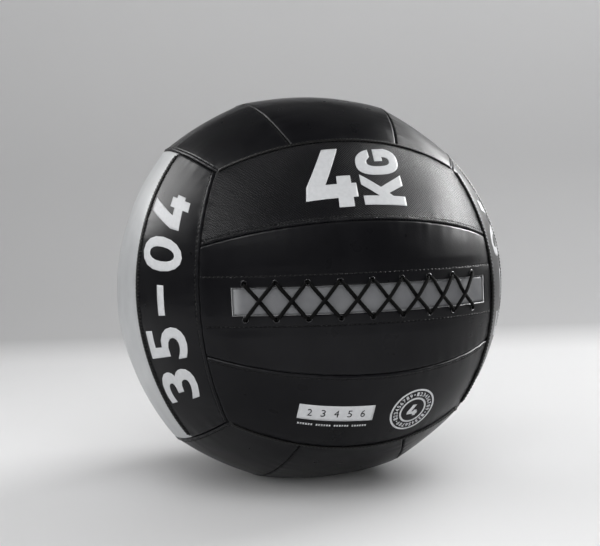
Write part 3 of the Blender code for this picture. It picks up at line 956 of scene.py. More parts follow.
def swell_fields(panels):
    """For each panel, a function from run and reach to how far it has swollen."""
    rises = simulate_swelling(panels)
    fields, start = {}, 0
    for panel in panels:
        span = panel["span"]
        shape = swell_grid(span)[0].shape
        field = evened(rises[start:start + math.prod(shape)].reshape(shape))
        start += field.size

        def swell(run, reach, field=field, span=span):
            u = (run + quarter_angle) / (2 * quarter_angle) * (field.shape[0] - 1)
            v = (reach - span[0]) / (span[1] - span[0]) * (field.shape[1] - 1)
            return sampled(field, u, v) - slack_start(run, reach, span)

        fields[panel["name"]] = swell
    return fields


def list_panels():
    panels = []
    for side, plan in face_plans.items():
        for strip, name in enumerate(plan[3].split()):
            panels.append({
                "name": f"{side}_{name}", "side": side, "strip": strip, "span": strip_spans[strip],
                "laced": name == "laced", "seed": 100 * (len(panels) + 1),
            })
    return panels


panel_leathers = {"left_middle": "silver", "right_middle": "silver", "front_upper": "ribbed"}


def build_cover():
    panels = list_panels()
    fields = swell_fields(panels)
    for panel in panels:
        name = panel["name"]
        surface = panel_leathers.get(name, "black")
        mesh = panel_mesh(panel, fields[name])
        obj = dressed(name + "_cover", mesh, surface, [name + "_panel"])
        if panel["laced"]:
            cut_eyelet_holes(obj)
    return {panel["name"]: panel for panel in panels}


# Stitches

whip_pitch = 3.1 * MM
seam_cord_lay = 3.1 * MM
seam_cord_end = 1.5 * MM
seam_cord_tuck = 2 * MM
seam_cord_tuck_reach = 5 * MM
seam_cord_ply_share = 0.3
# For each corded seam: how far in from it the cord lies, its depth and its radius
seam_cords = {
    "whip": (0.9 * MM, 0.2 * MM, 1.6 * MM),
    "corded": (0.3 * MM, -0.5 * MM, 1.5 * MM),
    "beaded": (0.2 * MM, -0.4 * MM, 1.15 * MM),
}
# For each kind of stitch: its pitch, slant, distance from the seam and reach over the panel, its thread's
# radius, and the heights that its thread passes through
over_heights = (-0.5 * MM, 0.25 * MM, 0.42 * MM, 0.25 * MM, -0.5 * MM)
whip_heights = (-0.2 * MM, 0.35 * MM, 0.4 * MM, 0.35 * MM, 0.2 * MM, -0.5 * MM)
bar_heights = (-0.3 * MM, 0.12 * MM, 0.22 * MM, 0.12 * MM, -0.6 * MM)
stitch_kinds = {
    "ridge": (stitch_pitch, stitch_length, topstitch_line, 0, thread_radius, over_heights),
    "whip": (whip_pitch, 2.2 * MM, 0.35 * MM, 3.4 * MM, 0.75 * MM, whip_heights),
    "long_bar": (stitch_pitch, 0.7 * MM, 0.5 * MM, 2.6 * MM, thread_radius * 0.8, bar_heights),
    "bar": (stitch_pitch, 0.7 * MM, 0.5 * MM, 1.9 * MM, thread_radius * 0.8, bar_heights),
    "short_bar": (stitch_pitch, 0.7 * MM, 0.5 * MM, 1.3 * MM, thread_radius * 0.8, bar_heights),
}


def on_cover(tree, sewn, lift):
    """Where rays towards the ball's middle meet a panel, lifted off it by this much."""
    points = []
    for way, height in zip(slipped(sewn.reshape(-1, 3)), np.broadcast_to(lift, sewn.shape[:-1]).ravel()):
        way = Vector(way)
        place, normal, _, _ = tree.ray_cast(ball_middle + way * seam_radius * 1.15, -way)
        if place is None:
            place, normal, _, _ = tree.find_nearest(ball_middle + way * ball_radius)
        if normal.dot(way) < 0:
            normal = -normal
        points.append(place + normal * height)
    return np.array(points).reshape(sewn.shape)


def threads(tree, sewn, heights, radius):
    """One thread for each row of places on a panel, thinner at its ends."""
    shares = np.ones(len(heights))
    shares[[0, -1]] = 0.6
    return [tube(line, radius * shares, 6) for line in on_cover(tree, sewn, heights)]


def seam_places(span, edge, pitch):
    """Evenly pitched places along an edge of a panel, clear of its corners."""
    if edge in ("low", "high"):
        end = math.atan(math.cos(span[edge == "high"])) * seam_radius
        low, high = -end, end
    else:
        low, high = (math.atan(math.tan(angle) / math.sqrt(2)) * seam_radius for angle in span)
    count = int((high - low - 2 * corner_margin) / pitch)
    start = (low + high - count * pitch) / 2
    return start + pitch * (np.arange(count) + 0.5)


def seam_stitches(panel, edge, kind):
    """Stitches of one kind along an edge of a panel."""
    pitch, slant, start, reach, radius, heights = stitch_kinds[kind]
    middle, way, inward = seam_frame(panel["side"], panel["span"], edge)
    share = np.linspace(0, 1, len(heights))
    along = seam_places(panel["span"], edge, pitch)[:, None] + (share - 0.5) * slant
    off = start + share * reach + np.zeros_like(along)
    turn, lean = (along / seam_radius)[..., None], (off / seam_radius)[..., None]
    sewn = np.cos(lean) * (middle * np.cos(turn) + way * np.sin(turn)) + np.sin(lean) * inward
    return threads(panel["tree"], sewn, heights, radius)


def seam_cord(panel, edge, kind):
    """A two-ply cord laid in the groove of a seam, with its ends tucked in at the corners."""
    off, depth, radius = seam_cords[kind]
    end = quarter_angle - seam_cord_end / ball_radius
    run = np.linspace(-end, end, 240)
    seam = panel["span"][edge == "high"]
    reach = seam_place(seam, off, run, -1 if edge == "high" else 1)
    tuck = seam_cord_tuck * smooth_step(1 - (end - np.abs(run)) * ball_radius / seam_cord_tuck_reach)
    points = cover_points(panel["side"], panel["span"], run, reach, depth + tuck)

    def plies(length, angle):
        return 1 + seam_cord_ply_share * np.cos(2 * angle + math.tau * length / seam_cord_lay)

    return tube(points, radius, 14, relief=plies)


def flap_stitches(panel):
    """The two stitch lines that hold the tapes behind the flaps."""
    share = np.linspace(-0.5, 0.5, 5)
    heights = (-0.5 * MM, 0.2 * MM, 0.38 * MM, 0.2 * MM, -0.5 * MM)
    pitch = stitch_pitch / ball_radius
    half_count = int((quarter_angle - corner_margin / ball_radius) / pitch)
    angles = np.arange(-half_count, half_count) * pitch + pitch / 2
    run = angles[:, None] + share * stitch_length / ball_radius
    out = []
    for line in (flap_stitch_height, -flap_stitch_height):
        reach = np.arctan(math.tan(line / ball_radius) / np.cos(run))
        out += threads(panel["tree"], face_direction("front", run, reach), heights, thread_radius * 0.9)
    return out


def edge_sewing(side, strip, edge):
    """The kind of cord and the kind of stitch on an edge of a panel."""
    style = edge_style(side, strip, edge)
    if style in ("ridge", "whip"):
        return ("whip" if style == "whip" else None), style
    if (side, strip, edge) == ("right", 2, "high"):
        return "corded", "long_bar"
    if side in ("front", "back") and is_outer(strip, edge):
        return "beaded", None
    if side in ("top", "bottom") and edge in ("start", "end"):
        return None, "bar"
    if side in ("top", "bottom") and is_inner(strip, edge):
        return None, "short_bar"
    return None, None


def panel_stitches(panel):
    out = flap_stitches(panel) if panel["laced"] else []
    for edge in edges:
        cord, stitch = edge_sewing(panel["side"], panel["strip"], edge)
        if cord:
            out.append(seam_cord(panel, edge, cord))
        if stitch:
            out += seam_stitches(panel, edge, stitch)
    return out


def build_stitches(panels):
    for side in faces:
        parts = [part for panel in panels.values() if panel["side"] == side for part in panel_stitches(panel)]
        dressed(side + "_stitching", join_meshes(parts), "thread")


# Slit: eyelets, laces, tongue and tapes

braid_lay = 9 * MM
braid_relief_share = 0.05
eyelet_turns = 32
lace_sides = 16


def turned(profile, steps, matrix):
    """A closed profile of radius and height pairs turned round an axis, as points and polygons."""
    radius, height = np.array(profile).T
    turn = np.arange(steps)[:, None] * math.tau / steps
    points = np.stack([radius * np.cos(turn), radius * np.sin(turn), height + 0 * turn], axis=-1)
    matrix = np.array(matrix)
    points = points.reshape(-1, 3) @ matrix[:3, :3].T + matrix[:3, 3]
    return points, ring_grid(steps, len(profile), closed=True)


def eyelet_profile():
    """A rolled lip over the leather, a barrel through it and a flange behind the tape."""
    front, rear = eyelet_lip_thickness, -eyelet_rear_depth
    rear_face = rear - eyelet_lip_thickness
    roll = (eyelet_lip_radius - eyelet_bore_radius) / 2
    lip = [
        (eyelet_bore_radius + roll - roll * math.cos(turn), gap + (front + 0.15 * MM) * math.sin(turn))
        for turn in np.linspace(0, math.pi, 9)
    ]
    return [
        *lip,
        (eyelet_lip_radius - 0.1 * MM, 0.1 * MM),
        (eyelet_barrel_radius, 0.05 * MM),
        (eyelet_barrel_radius, rear),
        (eyelet_lip_radius, rear),
        (eyelet_lip_radius, rear_face),
        (eyelet_bore_radius + 0.1 * MM, rear_face),
        (eyelet_bore_radius, rear_face + eyelet_lip_thickness / 2),
    ]


def build_eyelets():
    for angle, name, height in eyelet_places():
        ring = turned(eyelet_profile(), eyelet_turns, eyelet_matrix(angle, height))
        dressed(name + "_ring", ring, "metal", [name])


def hole_strand(pair, sign, lean):
    return eyelet_angle(pair) + lean * strand_offset / ball_radius, sign * eyelet_row_height


def leg_points(start, end, rise):
    """Half the way out of one eyelet, over the flap, past the crossing and into the other."""
    lip_top = gap + eyelet_lip_thickness
    run = unit(np.array([(end[0] - start[0]) * ball_radius, end[1] - start[1]]))
    steps = (
        (0, -tape_depth, cord_pinch_share),
        (0, lip_top + gap, cord_pinch_share),
        (pinched_radius, lip_top + gap + pinched_radius, cord_pinch_share),
        (eyelet_lip_radius + cord_radius, gap + cord_radius + gap, 1),
    )
    half = []
    for first, way in ((start, run), (end, -run)):
        half.append([
            (first[0] + way[0] * ahead / ball_radius, first[1] + way[1] * ahead, -height, share)
            for ahead, height, share in steps
        ])
    middle = ((start[0] + end[0]) / 2, (start[1] + end[1]) / 2, -(gap + cord_radius + rise), 1)
    return [*half[0], middle, *reversed(half[1])]


def bar_points(start, end, depth):
    """Behind the tongue, from one eyelet of a pair to the other."""
    turn_in = (tongue_half - pinched_radius) / eyelet_row_height
    drops = [tongue_depth + tongue_thickness + pinched_radius / 2]
    if depth > near_bar_depth:
        drops.append(near_bar_depth + pinched_radius + gap)
    half = []
    for first, second in ((start, end), (end, start)):
        strand = [(*first, drop, cord_pinch_share) for drop in drops]
        blend = first[0] + (second[0] - first[0]) * (1 - turn_in) / 2
        half.append([*strand, (blend, first[1] * turn_in, depth, 1)])
    middle = ((start[0] + end[0]) / 2, 0, depth, 1)
    return [*half[0], middle, *reversed(half[1])]


def knot_points(hole):
    """The cord's end behind the flap, thickened by its stopper knot."""
    sign = 1 if hole[1] > 0 else -1
    depth = tongue_depth + cord_radius * knot_share
    knot = hole[1] + sign * 2 * cord_radius
    ends = (knot, knot + sign * knot_length / 2, knot + sign * knot_length)
    return [
        (hole[0], hole[1], tongue_depth, cord_pinch_share),
        *((hole[0], height, depth, share) for height, share in zip(ends, (1, knot_share, 1))),
    ]


def lace_route(sign, rise, bar_depth):
    """One cord: over the slit to the next pair, then straight back behind, to the last pair."""
    start = hole_strand(0, sign, 0)
    route = list(reversed(knot_points(start)))
    for pair in range(1, eyelet_pairs):
        last = pair == eyelet_pairs - 1
        end = hole_strand(pair, -sign, 0 if last else -1)
        route += leg_points(start, end, rise)
        if last:
            return route + knot_points(end)
        start = hole_strand(pair, sign, 1)
        route += bar_points(end, start, bar_depth)
    return route


def braid(length, angle):
    """The diamond relief of a braided cord, as a share of its radius."""
    turns = math.tau * length / braid_lay
    return 1 + braid_relief_share * np.sin(4 * angle + 4 * turns) * np.sin(4 * angle - 4 * turns)


def spread_sideways(skin, line, radii):
    """The cord is a soft braid, so it lies a little wider than it is high where nothing pinches it."""
    middles = np.repeat(line, len(skin) // len(line), axis=0)
    full = smooth_step((np.repeat(radii, len(skin) // len(line)) / cord_radius - cord_pinch_share) / 0.4)
    outward = unit(middles - (0, 0, centre_height))
    off = skin - middles
    upright = (off * outward).sum(axis=1, keepdims=True) * outward
    return middles + upright + (off - upright) * (1 + cord_spread_share * full[:, None])


def build_laces():
    lift = cord_radius + gap / 2
    for name, sign, rise, depth in (
        ("falling_lace", 1, -lift, near_bar_depth), ("rising_lace", -1, lift, far_bar_depth),
    ):
        route = np.array(lace_route(sign, rise, depth))
        line, radii = smooth_path(front_points(*route[:, :3].T), route[:, 3] * cord_radius, 9)
        skin, polygons = tube(line, radii, lace_sides, relief=braid)
        shape = (spread_sideways(skin, line, radii), polygons)
        dressed(name + "_braid", shape, "cord", [name + "_cord"])


def closed_sheet(angles, heights, depth, thickness, relief):
    """A sheet behind the front face as points and polygons. relief lifts its outer face."""
    angle, height = np.meshgrid(angles, heights, indexing="ij")
    outer = front_points(angle, height, depth - relief(angle, height))
    inner = front_points(angle, height, depth + thickness)
    quads = grid_quads(*angle.shape)
    loop = border_loop(0, len(angles) - 1, 0, len(heights) - 1, len(heights))
    points = np.concatenate([outer.reshape(-1, 3), inner.reshape(-1, 3)])
    return points, np.concatenate([quads, quads[:, ::-1] + angle.size, ring_quads(loop, loop + angle.size)])


tongue_end_rise = 1.9 * MM
tongue_pad_rise = 0.95 * MM
tongue_pad_swing = 0.55 * MM
tongue_end_start = 3 * MM
tongue_end_reach = 8 * MM
tongue_rim_reach = 2.2 * MM
# How far in from the slit's left end the painted light on the tongue reaches
tongue_painted_light_reach = 9 * MM


def tongue_relief(angle, height):
    """The stuffing presses the tongue out in soft pads between the crossings."""
    pair = (angle - eyelet_middle_angle) / eyelet_pitch_angle
    pad = tongue_pad_rise + tongue_pad_swing * np.cos(math.tau * (pair + 0.5))
    inside = np.minimum(angle - slit_left_angle, slit_right_angle - angle) * ball_radius
    past_laces = smooth_step(1 - (inside - tongue_end_start) / tongue_end_reach)
    rise = pad + (tongue_end_rise - pad) * past_laces
    clear = np.minimum(slit_half - np.abs(height), inside)
    ripple = 0.05 * MM * np.sin(angle * 90 + height * 400)
    return rise * smooth_step((clear + 0.5 * MM) / tongue_rim_reach) + ripple


def build_tongue():
    angles = np.linspace(slit_left_angle - tongue_end_lap_angle, slit_right_angle + tongue_end_lap_angle, 260)
    heights = np.linspace(-tongue_half, tongue_half, 32)
    sheet = closed_sheet(angles, heights, tongue_depth, tongue_thickness, tongue_relief)
    angle, height = (values.ravel() for values in np.meshgrid(angles, heights, indexing="ij"))
    # Painted light: a paler tone towards the slit's left end and painted highlights along the hems, stored in
    # the edge attribute.
    left = smooth_step(((slit_left_angle - angle) * ball_radius + tongue_painted_light_reach) / tongue_painted_light_reach)
    hem_highlights = smooth_step((np.abs(height) - slit_half + 0.9 * MM) / (0.6 * MM))
    mesh = mesh_of("lace_tongue_pad", *sheet)
    add_attribute(mesh, "edge", np.tile(np.maximum(0.5 * left, 0.25 * hem_highlights), 2))
    dressed("lace_tongue_pad", mesh, "tongue", ["lace_tongue"])


def build_tapes():
    """Webbing behind each flap, drilled like it."""
    edge = slit_half + gap
    end = quarter_angle - 5 * MM / ball_radius
    for name, heights in (("upper", (edge, tape_outer_height)), ("lower", (-tape_outer_height, -edge))):
        sheet = closed_sheet(
            np.linspace(-end, end, 150), np.linspace(*heights, 10), tape_depth, tape_thickness,
            lambda angle, height: 0.04 * MM * np.sin(height * 3000),
        )
        tape = dressed(name + "_tape_webbing", sheet, "webbing", [name + "_eyelet_tape"])
        cut_eyelet_holes(tape)


# Inside: lining, stuffing and weighted core

lining_depth = far_bar_depth + cord_radius + gap
lining_thickness = 0.8 * MM
stuffing_depth = lining_depth + lining_thickness + gap
core_pocket_clearance = 1.2 * MM
fold_depth_share = 0.08
folds_round_neck = 11
twine_lay = 6 * MM
twine_relief_share = 0.08
sand_lump_share = 0.004


def rounded_cube(depth, segments, relief=None):
    """A closed cover-shaped skin at this depth, as a bmesh."""
    parts = []
    for side in faces:
        for span in strip_spans:
            rows = max(3, round((span[1] - span[0]) / (2 * quarter_angle) * segments))
            run, reach = even_grid(span, segments, rows)
            lumps = relief(face_direction(side, run, reach) * ball_radius) if relief else 0
            points = cover_points(side, span, run, reach, run * 0 + depth + lumps)
            parts.append((points, grid_quads(*run.shape)))
    bm = bmesh.new()
    bm.from_mesh(mesh_of("skin", *join_meshes(parts)))
    bmesh.ops.remove_doubles(bm, verts=bm.verts, dist=0.05 * MM)
    bmesh.ops.recalc_face_normals(bm, faces=bm.faces)
    return bm


def build_lining():
    """A thin woven bag inside the cover, open behind the slit."""
    bm = rounded_cube(lining_depth, 60)
    reach = ball_radius * math.sin(-slit_left_angle)

    def in_slit(face):
        x, y, z = face.calc_center_median()
        return y < 0 and abs(x) < reach and abs(z - centre_height) < slit_half

    bmesh.ops.delete(bm, geom=[face for face in bm.faces if in_slit(face)], context="FACES")
    bag = dressed("lining_bag", mesh_from(bm, "lining_bag"), "lining", ["inner_lining_bag"])
    wall = bag.modifiers.new("wall", "SOLIDIFY")
    wall.thickness = lining_thickness
    wall.offset = -1
    apply_modifiers(bag)


def stuffing_lumps(points):
    lumps = 0.9 * MM + 0.6 * MM * waves(points, 30 * MM, 7) + 0.25 * MM * waves(points, 11 * MM, 8)
    return np.maximum(lumps, 0)


def build_stuffing():
    """Two halves of packed fibre with a pocket for the core."""
    for name, side in (("upper_stuffing", 1), ("lower_stuffing", -1)):
        bm = rounded_cube(stuffing_depth, 48, stuffing_lumps)
        cut = bmesh.ops.bisect_plane(
            bm, geom=[*bm.verts, *bm.edges, *bm.faces], clear_outer=True,
            plane_co=(0, 0, centre_height + side * gap / 2), plane_no=(0, 0, -side),
        )["geom_cut"]
        bmesh.ops.holes_fill(bm, edges=[item for item in cut if isinstance(item, bmesh.types.BMEdge)])
        piece = dressed(name + "_fibre", mesh_from(bm, name), "stuffing", [name])
        pockets = list(core_pockets(side))
        for pocket in pockets:
            add_cut(piece, pocket)
        apply_modifiers(piece)
        for pocket in pockets:
            bpy.data.objects.remove(pocket)


def core_pockets(side):
    """Cutters for the core bag and, in the upper half, for its tied neck."""
    bm = bmesh.new()
    bmesh.ops.create_uvsphere(bm, u_segments=40, v_segments=20, radius=core_radius + core_pocket_clearance)
    bmesh.ops.translate(bm, verts=bm.verts, vec=ball_middle)
    yield new_object("core_pocket_ball", mesh_from(bm, "core_pocket_ball"))
    if side > 0:
        bm = bmesh.new()
        top = core_radius + core_neck_length + 2 * gap
        radius = core_neck_radius + 2 * core_tie_radius + 4 * gap
        bmesh.ops.create_cone(bm, cap_ends=True, segments=32, radius1=radius, radius2=radius, depth=top)
        bmesh.ops.translate(bm, verts=bm.verts, vec=(0, 0, centre_height + top / 2))
        yield new_object("core_pocket_neck", mesh_from(bm, "core_pocket_neck"))


def gathered(radius, height):
    """The core bag's profile with folds that deepen towards its tied neck."""
    turn = np.arange(120) * math.tau / 120
    depth = fold_depth_share * smooth_step((height - 0.55 * core_radius) / (0.5 * core_radius))
    folds = 1 - depth[:, None] * (0.5 + 0.5 * np.cos(folds_round_neck * turn))
    ring = radius[:, None] * folds
    return np.stack([ring * np.cos(turn), ring * np.sin(turn), height[:, None] + 0 * turn], axis=-1)


def build_sack():
    """The core's canvas bag, with a gathered neck."""
    bottom = np.linspace(math.pi - 0.03, math.asin(core_neck_radius / core_radius), 40)
    neck = np.linspace(core_radius * math.cos(bottom[-1]), core_radius + core_neck_length, 9)[1:]
    radius = np.concatenate([core_radius * np.sin(bottom), np.full(len(neck), core_neck_radius)])
    height = np.concatenate([core_radius * np.cos(bottom), neck])
    outer = gathered(radius, height)
    inner_height = height + np.where(height < 0, core_bag_wall, 0)
    inner = gathered(radius - np.minimum(core_bag_wall, radius / 2), inner_height)
    rings, steps = outer.shape[:2]
    count = rings * steps
    quads = np.array(ring_grid(rings, steps))
    last = (rings - 1) * steps + np.arange(steps)
    polygons = [*quads, *(quads[:, ::-1] + count), *ring_quads(last, last + count)]
    polygons += [range(steps), range(count, count + steps)]
    points = np.concatenate([outer.reshape(-1, 3), inner.reshape(-1, 3)]) + (0, 0, centre_height)
    dressed("core_sack", (points, polygons), "canvas", ["core_bag"])


def twist(length, angle):
    """The relief of a three-strand twine, as a share of its radius."""
    return 1 - twine_relief_share * (1 - np.cos(3 * angle + math.tau * length / twine_lay))


def build_core():
    """The bag, the twine round its neck and its sand."""
    build_sack()
    ring = core_neck_radius + core_tie_radius + gap
    turn = np.arange(90) * math.tau / 90
    height = centre_height + core_radius + core_neck_length / 2
    loop = np.stack([ring * np.cos(turn), ring * np.sin(turn), 0 * turn + height], -1)
    tie = tube(loop, core_tie_radius, 14, closed=True, relief=twist)
    dressed("core_tie_twine", tie, "twine", ["core_bag_tie"])
    bm = bmesh.new()
    bmesh.ops.create_icosphere(bm, subdivisions=5, radius=core_radius - core_bag_wall - 4 * gap)
    for vert in bm.verts:
        vert.co *= 1 - sand_lump_share * (1 + float(waves(np.array(vert.co), 14 * MM, 31)) / 2)
    bmesh.ops.translate(bm, verts=bm.verts, vec=ball_middle)
    dressed("ballast_fill", mesh_from(bm, "ballast"), "sand", ["sand_ballast"])


# Plain marks printed on the cover

print_height = 0.14 * MM
print_root = 0.15 * MM
print_step = 2.4 * MM

# Plain block forms, drawn in a box from 0 to 1
four_shares = (
    (0.35, 1), (0.72, 1), (0.38, 0.38), (0.61, 0.38), (0.61, 0.51), (0.90, 0.51), (0.90, 0.38),
    (1, 0.38), (1, 0.15), (0.90, 0.15), (0.90, 0), (0.61, 0), (0.61, 0.15), (0, 0.15), (0, 0.37),
)
kay_shares = (
    (0, 0), (0, 1), (0.29, 1), (0.29, 0.62), (0.66, 1), (1, 1), (0.57, 0.55), (1, 0), (0.65, 0),
    (0.38, 0.38), (0.29, 0.29), (0.29, 0),
)


def gee_shares():
    """A round letter: an outer and an inner arc joined by a square-ended bar."""
    def arc(middle, radii, angles):
        for turn in np.radians(angles):
            ways = math.cos(turn), math.sin(turn)
            yield tuple(m + r * math.copysign(abs(way) ** 0.8, way) for m, r, way in zip(middle, radii, ways))

    outer = arc((0.5, 0.5), (0.5, 0.5), np.arange(16, 336, 10))
    bar = [(0.98, 0.29), (0.98, 0.563), (0.513, 0.563), (0.513, 0.373), (0.671, 0.373)]
    inner = arc((0.5, 0.48), (0.185, 0.27), np.arange(325, 45, -10))
    return [*outer, *bar, *inner, (0.7, 0.665)]


def polygon_mesh(outline):
    bm = bmesh.new()
    bm.faces.new([bm.verts.new((x, y, 0)) for x, y in outline])
    bm.normal_update()
    bmesh.ops.triangulate(bm, faces=bm.faces)
    return bm


def bar_mesh(low, high):
    return polygon_mesh(((low[0], low[1]), (high[0], low[1]), (high[0], high[1]), (low[0], high[1])))


def figure_mesh(text, weight):
    """Plain figures from the built-in face, stretched to the box from 0 to 1."""
    curve = bpy.data.curves.new("figure", "FONT")
    curve.body = text
    curve.offset = weight
    curve.resolution_u = 4
    obj = new_object("figure", curve)
    bm = bmesh.new()
    bm.from_mesh(evaluated(obj))
    bpy.data.objects.remove(obj)
    bmesh.ops.remove_doubles(bm, verts=bm.verts, dist=1e-5)
    places = np.array([vert.co for vert in bm.verts])
    low, size = places.min(axis=0), np.ptp(places, axis=0)
    for vert in bm.verts:
        vert.co = ((vert.co.x - low[0]) / size[0], (vert.co.y - low[1]) / size[1], 0)
    return bm


def ring_mesh(inner, outer, steps=72):
    turn = np.arange(steps) * math.tau / steps
    ring = np.stack([np.cos(turn), np.sin(turn), 0 * turn], -1)
    bm = bmesh.new()
    bm.from_mesh(mesh_of("ring", np.concatenate([ring * inner, ring * outer]), ring_grid(2, steps)))
    return bm


def shrunk(bm, low, high):
    """The same shape with the box from 0 to 1 moved to this one."""
    for vert in bm.verts:
        x, y = (a + (b - a) * share for a, b, share in zip(low, high, vert.co))
        vert.co = (x, y, 0)
    return bm


def cut_in_squares(bm, size):
    """Cuts a flat shape, whose box is this many metres for each unit, so that it can bend."""
    places = np.array([vert.co for vert in bm.verts])
    for axis in (0, 1):
        low, high = places[:, axis].min(), places[:, axis].max()
        way = [axis == 0, axis == 1, 0]
        for value in np.linspace(low, high, math.ceil((high - low) * size[axis] / print_step) + 1)[1:-1]:
            place = [value * share for share in way]
            bmesh.ops.bisect_plane(bm, geom=[*bm.verts, *bm.edges, *bm.faces], plane_co=place, plane_no=way)


def draped(bm, tree, to_direction, size, lift=0.0):
    """A flat shape laid on a panel as a thin raised film: its points and polygons."""
    cut_in_squares(bm, size)
    bm.verts.index_update()
    flat = np.array([vert.co for vert in bm.verts])
    sewn = to_direction(flat[:, 0], flat[:, 1])
    top, root = (on_cover(tree, sewn, lift + height) for height in (print_height, -print_root))
    count = len(flat)
    polygons = [[vert.index for vert in face.verts] for face in bm.faces]
    polygons += [[index + count for index in reversed(polygon)] for polygon in polygons]
    for edge in bm.edges:
        if edge.is_boundary:
            loop = edge.link_loops[0]
            first, second = loop.vert.index, loop.link_loop_next.vert.index
            polygons.append([second, first, first + count, second + count])
    bm.free()
    return np.concatenate([top, root]), polygons


def box_placer(side, corners, turned_up=False):
    """Places a box from 0 to 1 between four corners: lower left, lower right, upper left, upper right."""
    corners = np.radians(np.array(corners, float))

    def place(x, y):
        if turned_up:
            x, y = 1 - y, x
        lower = corners[0] + (corners[1] - corners[0]) * x[:, None]
        upper = corners[2] + (corners[3] - corners[2]) * x[:, None]
        angles = lower + (upper - lower) * y[:, None]
        return face_direction(side, angles[:, 0], angles[:, 1])

    return place


def round_placer(side, run, reach, radius):
    """Places a disc from -1 to 1 round a point of the cover."""
    middle = face_direction(side, np.array(math.radians(run)), np.array(math.radians(reach)))
    east = unit(np.cross((0, 0, 1), middle))
    north = np.cross(middle, east)

    def place(x, y):
        return unit(middle + (x[:, None] * east + y[:, None] * north) * radius / ball_radius)

    return place


def printed(name, parts, surface="print"):
    dressed(name, join_meshes(parts), surface)


# For each sign of the weight mark: its outline, its corners on the face in degrees, and if it is turned up
weight_signs = (
    (four_shares, ((-15.3, 23.6), (-0.4, 23.8), (-15.0, 41.8), (0.0, 42.0)), False),
    (kay_shares, ((1.1, 24.1), (13.9, 24.2), (1.2, 33.3), (15.2, 33.8)), True),
    (gee_shares(), ((0.6, 32.7), (15.5, 34.1), (1.4, 41.2), (17.7, 43.3)), True),
)
label_corners = ((-20.6, -34.7), (3.6, -34.7), (-19.2, -29.6), (3.7, -29.6))
label_size = (62 * MM, 15.5 * MM)
label_figure_lift = 0.12 * MM
label_dashes = 28
badge_radius = 20.9 * MM
badge_figures = 30
side_figure_middles = (-27.6, -13.7, 0.2, 14.6, 28.2)
side_figure_half = 5.3


def weight_mark(panels):
    """Mass in kilograms on the ribbed strip: a large figure with its unit turned up beside it."""
    tree = panels["front_upper"]["tree"]
    printed("weight_mark", [
        draped(polygon_mesh(outline), tree, box_placer("front", corners, turned_up), (45 * MM, 55 * MM))
        for outline, corners, turned_up in weight_signs
    ])


def plain_label(panels):
    """A plain white block with a row of counting figures left dark, over a line of small dashes."""
    where = (panels["front_lower"]["tree"], box_placer("front", label_corners), label_size)
    parts = [draped(bar_mesh((0, 0), (1, 1)), *where)]
    for i in range(label_dashes):
        if i % 7 != 6:
            left, right = (0.02 + 0.96 * place / label_dashes for place in (i, i + 0.62))
            parts.append(draped(bar_mesh((left, -0.40), (right, -0.28)), *where))
    printed("label_block", parts)
    figures = []
    for i, (text, width) in enumerate(zip("23456", (0.06, 0.06, 0.065, 0.06, 0.06))):
        left = 0.15 + 0.175 * i - width / 2
        bm = shrunk(figure_mesh(text, 0.0), (left, 0.27), (left + width, 0.73))
        figures.append(draped(bm, *where, lift=label_figure_lift))
    printed("label_figures", figures, "black")


def round_badge(panels):
    """Two rings with a ring of small figures between them and the mass in the middle."""
    placer = round_placer("front", 17.6, -33.9, badge_radius)
    where = (panels["front_lower"]["tree"], placer, (badge_radius, badge_radius))
    parts = [draped(ring_mesh(*radii), *where) for radii in ((0.92, 1.0), (0.52, 0.60))]
    for i in range(badge_figures):
        if i % 10 == 9:
            bm = bar_mesh((-0.03, 0.73), (0.03, 0.79))
        else:
            bm = shrunk(figure_mesh(str(i % 10 + 1), 0.02), (-0.055, 0.67), (0.055, 0.85))
        turn = Matrix.Rotation(-math.tau * i / badge_figures, 3, "Z")
        bmesh.ops.rotate(bm, verts=bm.verts, cent=(0, 0, 0), matrix=turn)
        parts.append(draped(bm, *where))
    parts.append(draped(shrunk(polygon_mesh(four_shares), (-0.24, -0.27), (0.24, 0.27)), *where))
    printed("round_badge", parts)


def side_figure(text):
    if text == "-":
        return bar_mesh((0.05, 0.42), (0.95, 0.58))
    return polygon_mesh(four_shares) if text == "4" else figure_mesh(text, 0.02)


def side_figures(panels):
    """Large plain figures up the black front strip of each side face, the same way round."""
    for side, (first, last) in (("left", (-39.0, -22.5)), ("right", (21.0, 36.5))):
        parts = []
        tree = panels[side + "_front"]["tree"]
        for text, middle in zip("35-04", side_figure_middles):
            low, high = middle - side_figure_half, middle + side_figure_half
            placer = box_placer(side, ((low, first), (high, first), (low, last), (high, last)))
            parts.append(draped(side_figure(text), tree, placer, (32 * MM, 48 * MM)))
        printed(side + "_figures", parts)


# Studio

camera_place = (-282.5 * MM, -969.9 * MM, 63.4 * MM + centre_height)
camera_right = (0.9610461, -0.2746722, -0.0307502)
camera_up = (0.0432085, 0.0394211, 0.9982880)
camera_back = (-0.2729898, -0.9607295, 0.0497537)
camera_lens = 64.73
world_radiance = 0.011
sweep_half_width = 3.0
sweep_near = -1.6
sweep_far = 1.18
sweep_height = 0.95
sweep_bend = 0.35
sweep_turn = math.radians(-15.9)


def build_camera():
    camera = bpy.data.cameras.new("photo_view")
    camera.lens = camera_lens
    camera.sensor_width = 36
    obj = new_object("photo_view", camera)
    matrix = Matrix.Identity(4)
    for column, values in enumerate((camera_right, camera_up, camera_back, camera_place)):
        matrix.col[column][:3] = values
    obj.matrix_world = matrix
    bpy.context.scene.camera = obj


def sweep_paper():
    paint = Paint("studio_paper", Roughness=0.9, Specular_IOR_Level=0.0)
    height = paint.add("SeparateXYZ", "Z", Vector=paint.where)
    # Painted shade: the wall is darker than the floor and darker still towards its foot, standing in for the
    # light falling off on the paper.
    wall = paint.mixed(paint.between(height, 0.0, 1.0, 0.1, 0.8), (0.55, 0.55, 0.555), (0.67, 0.67, 0.675))
    floor = paint.mixed(paint.noise(0.6), (0.85, 0.85, 0.855), (0.87, 0.87, 0.875))
    return paint.finished(paint.mixed(paint.between(height, 0.0, 1.0, 0.0, 0.03), floor, wall), [])


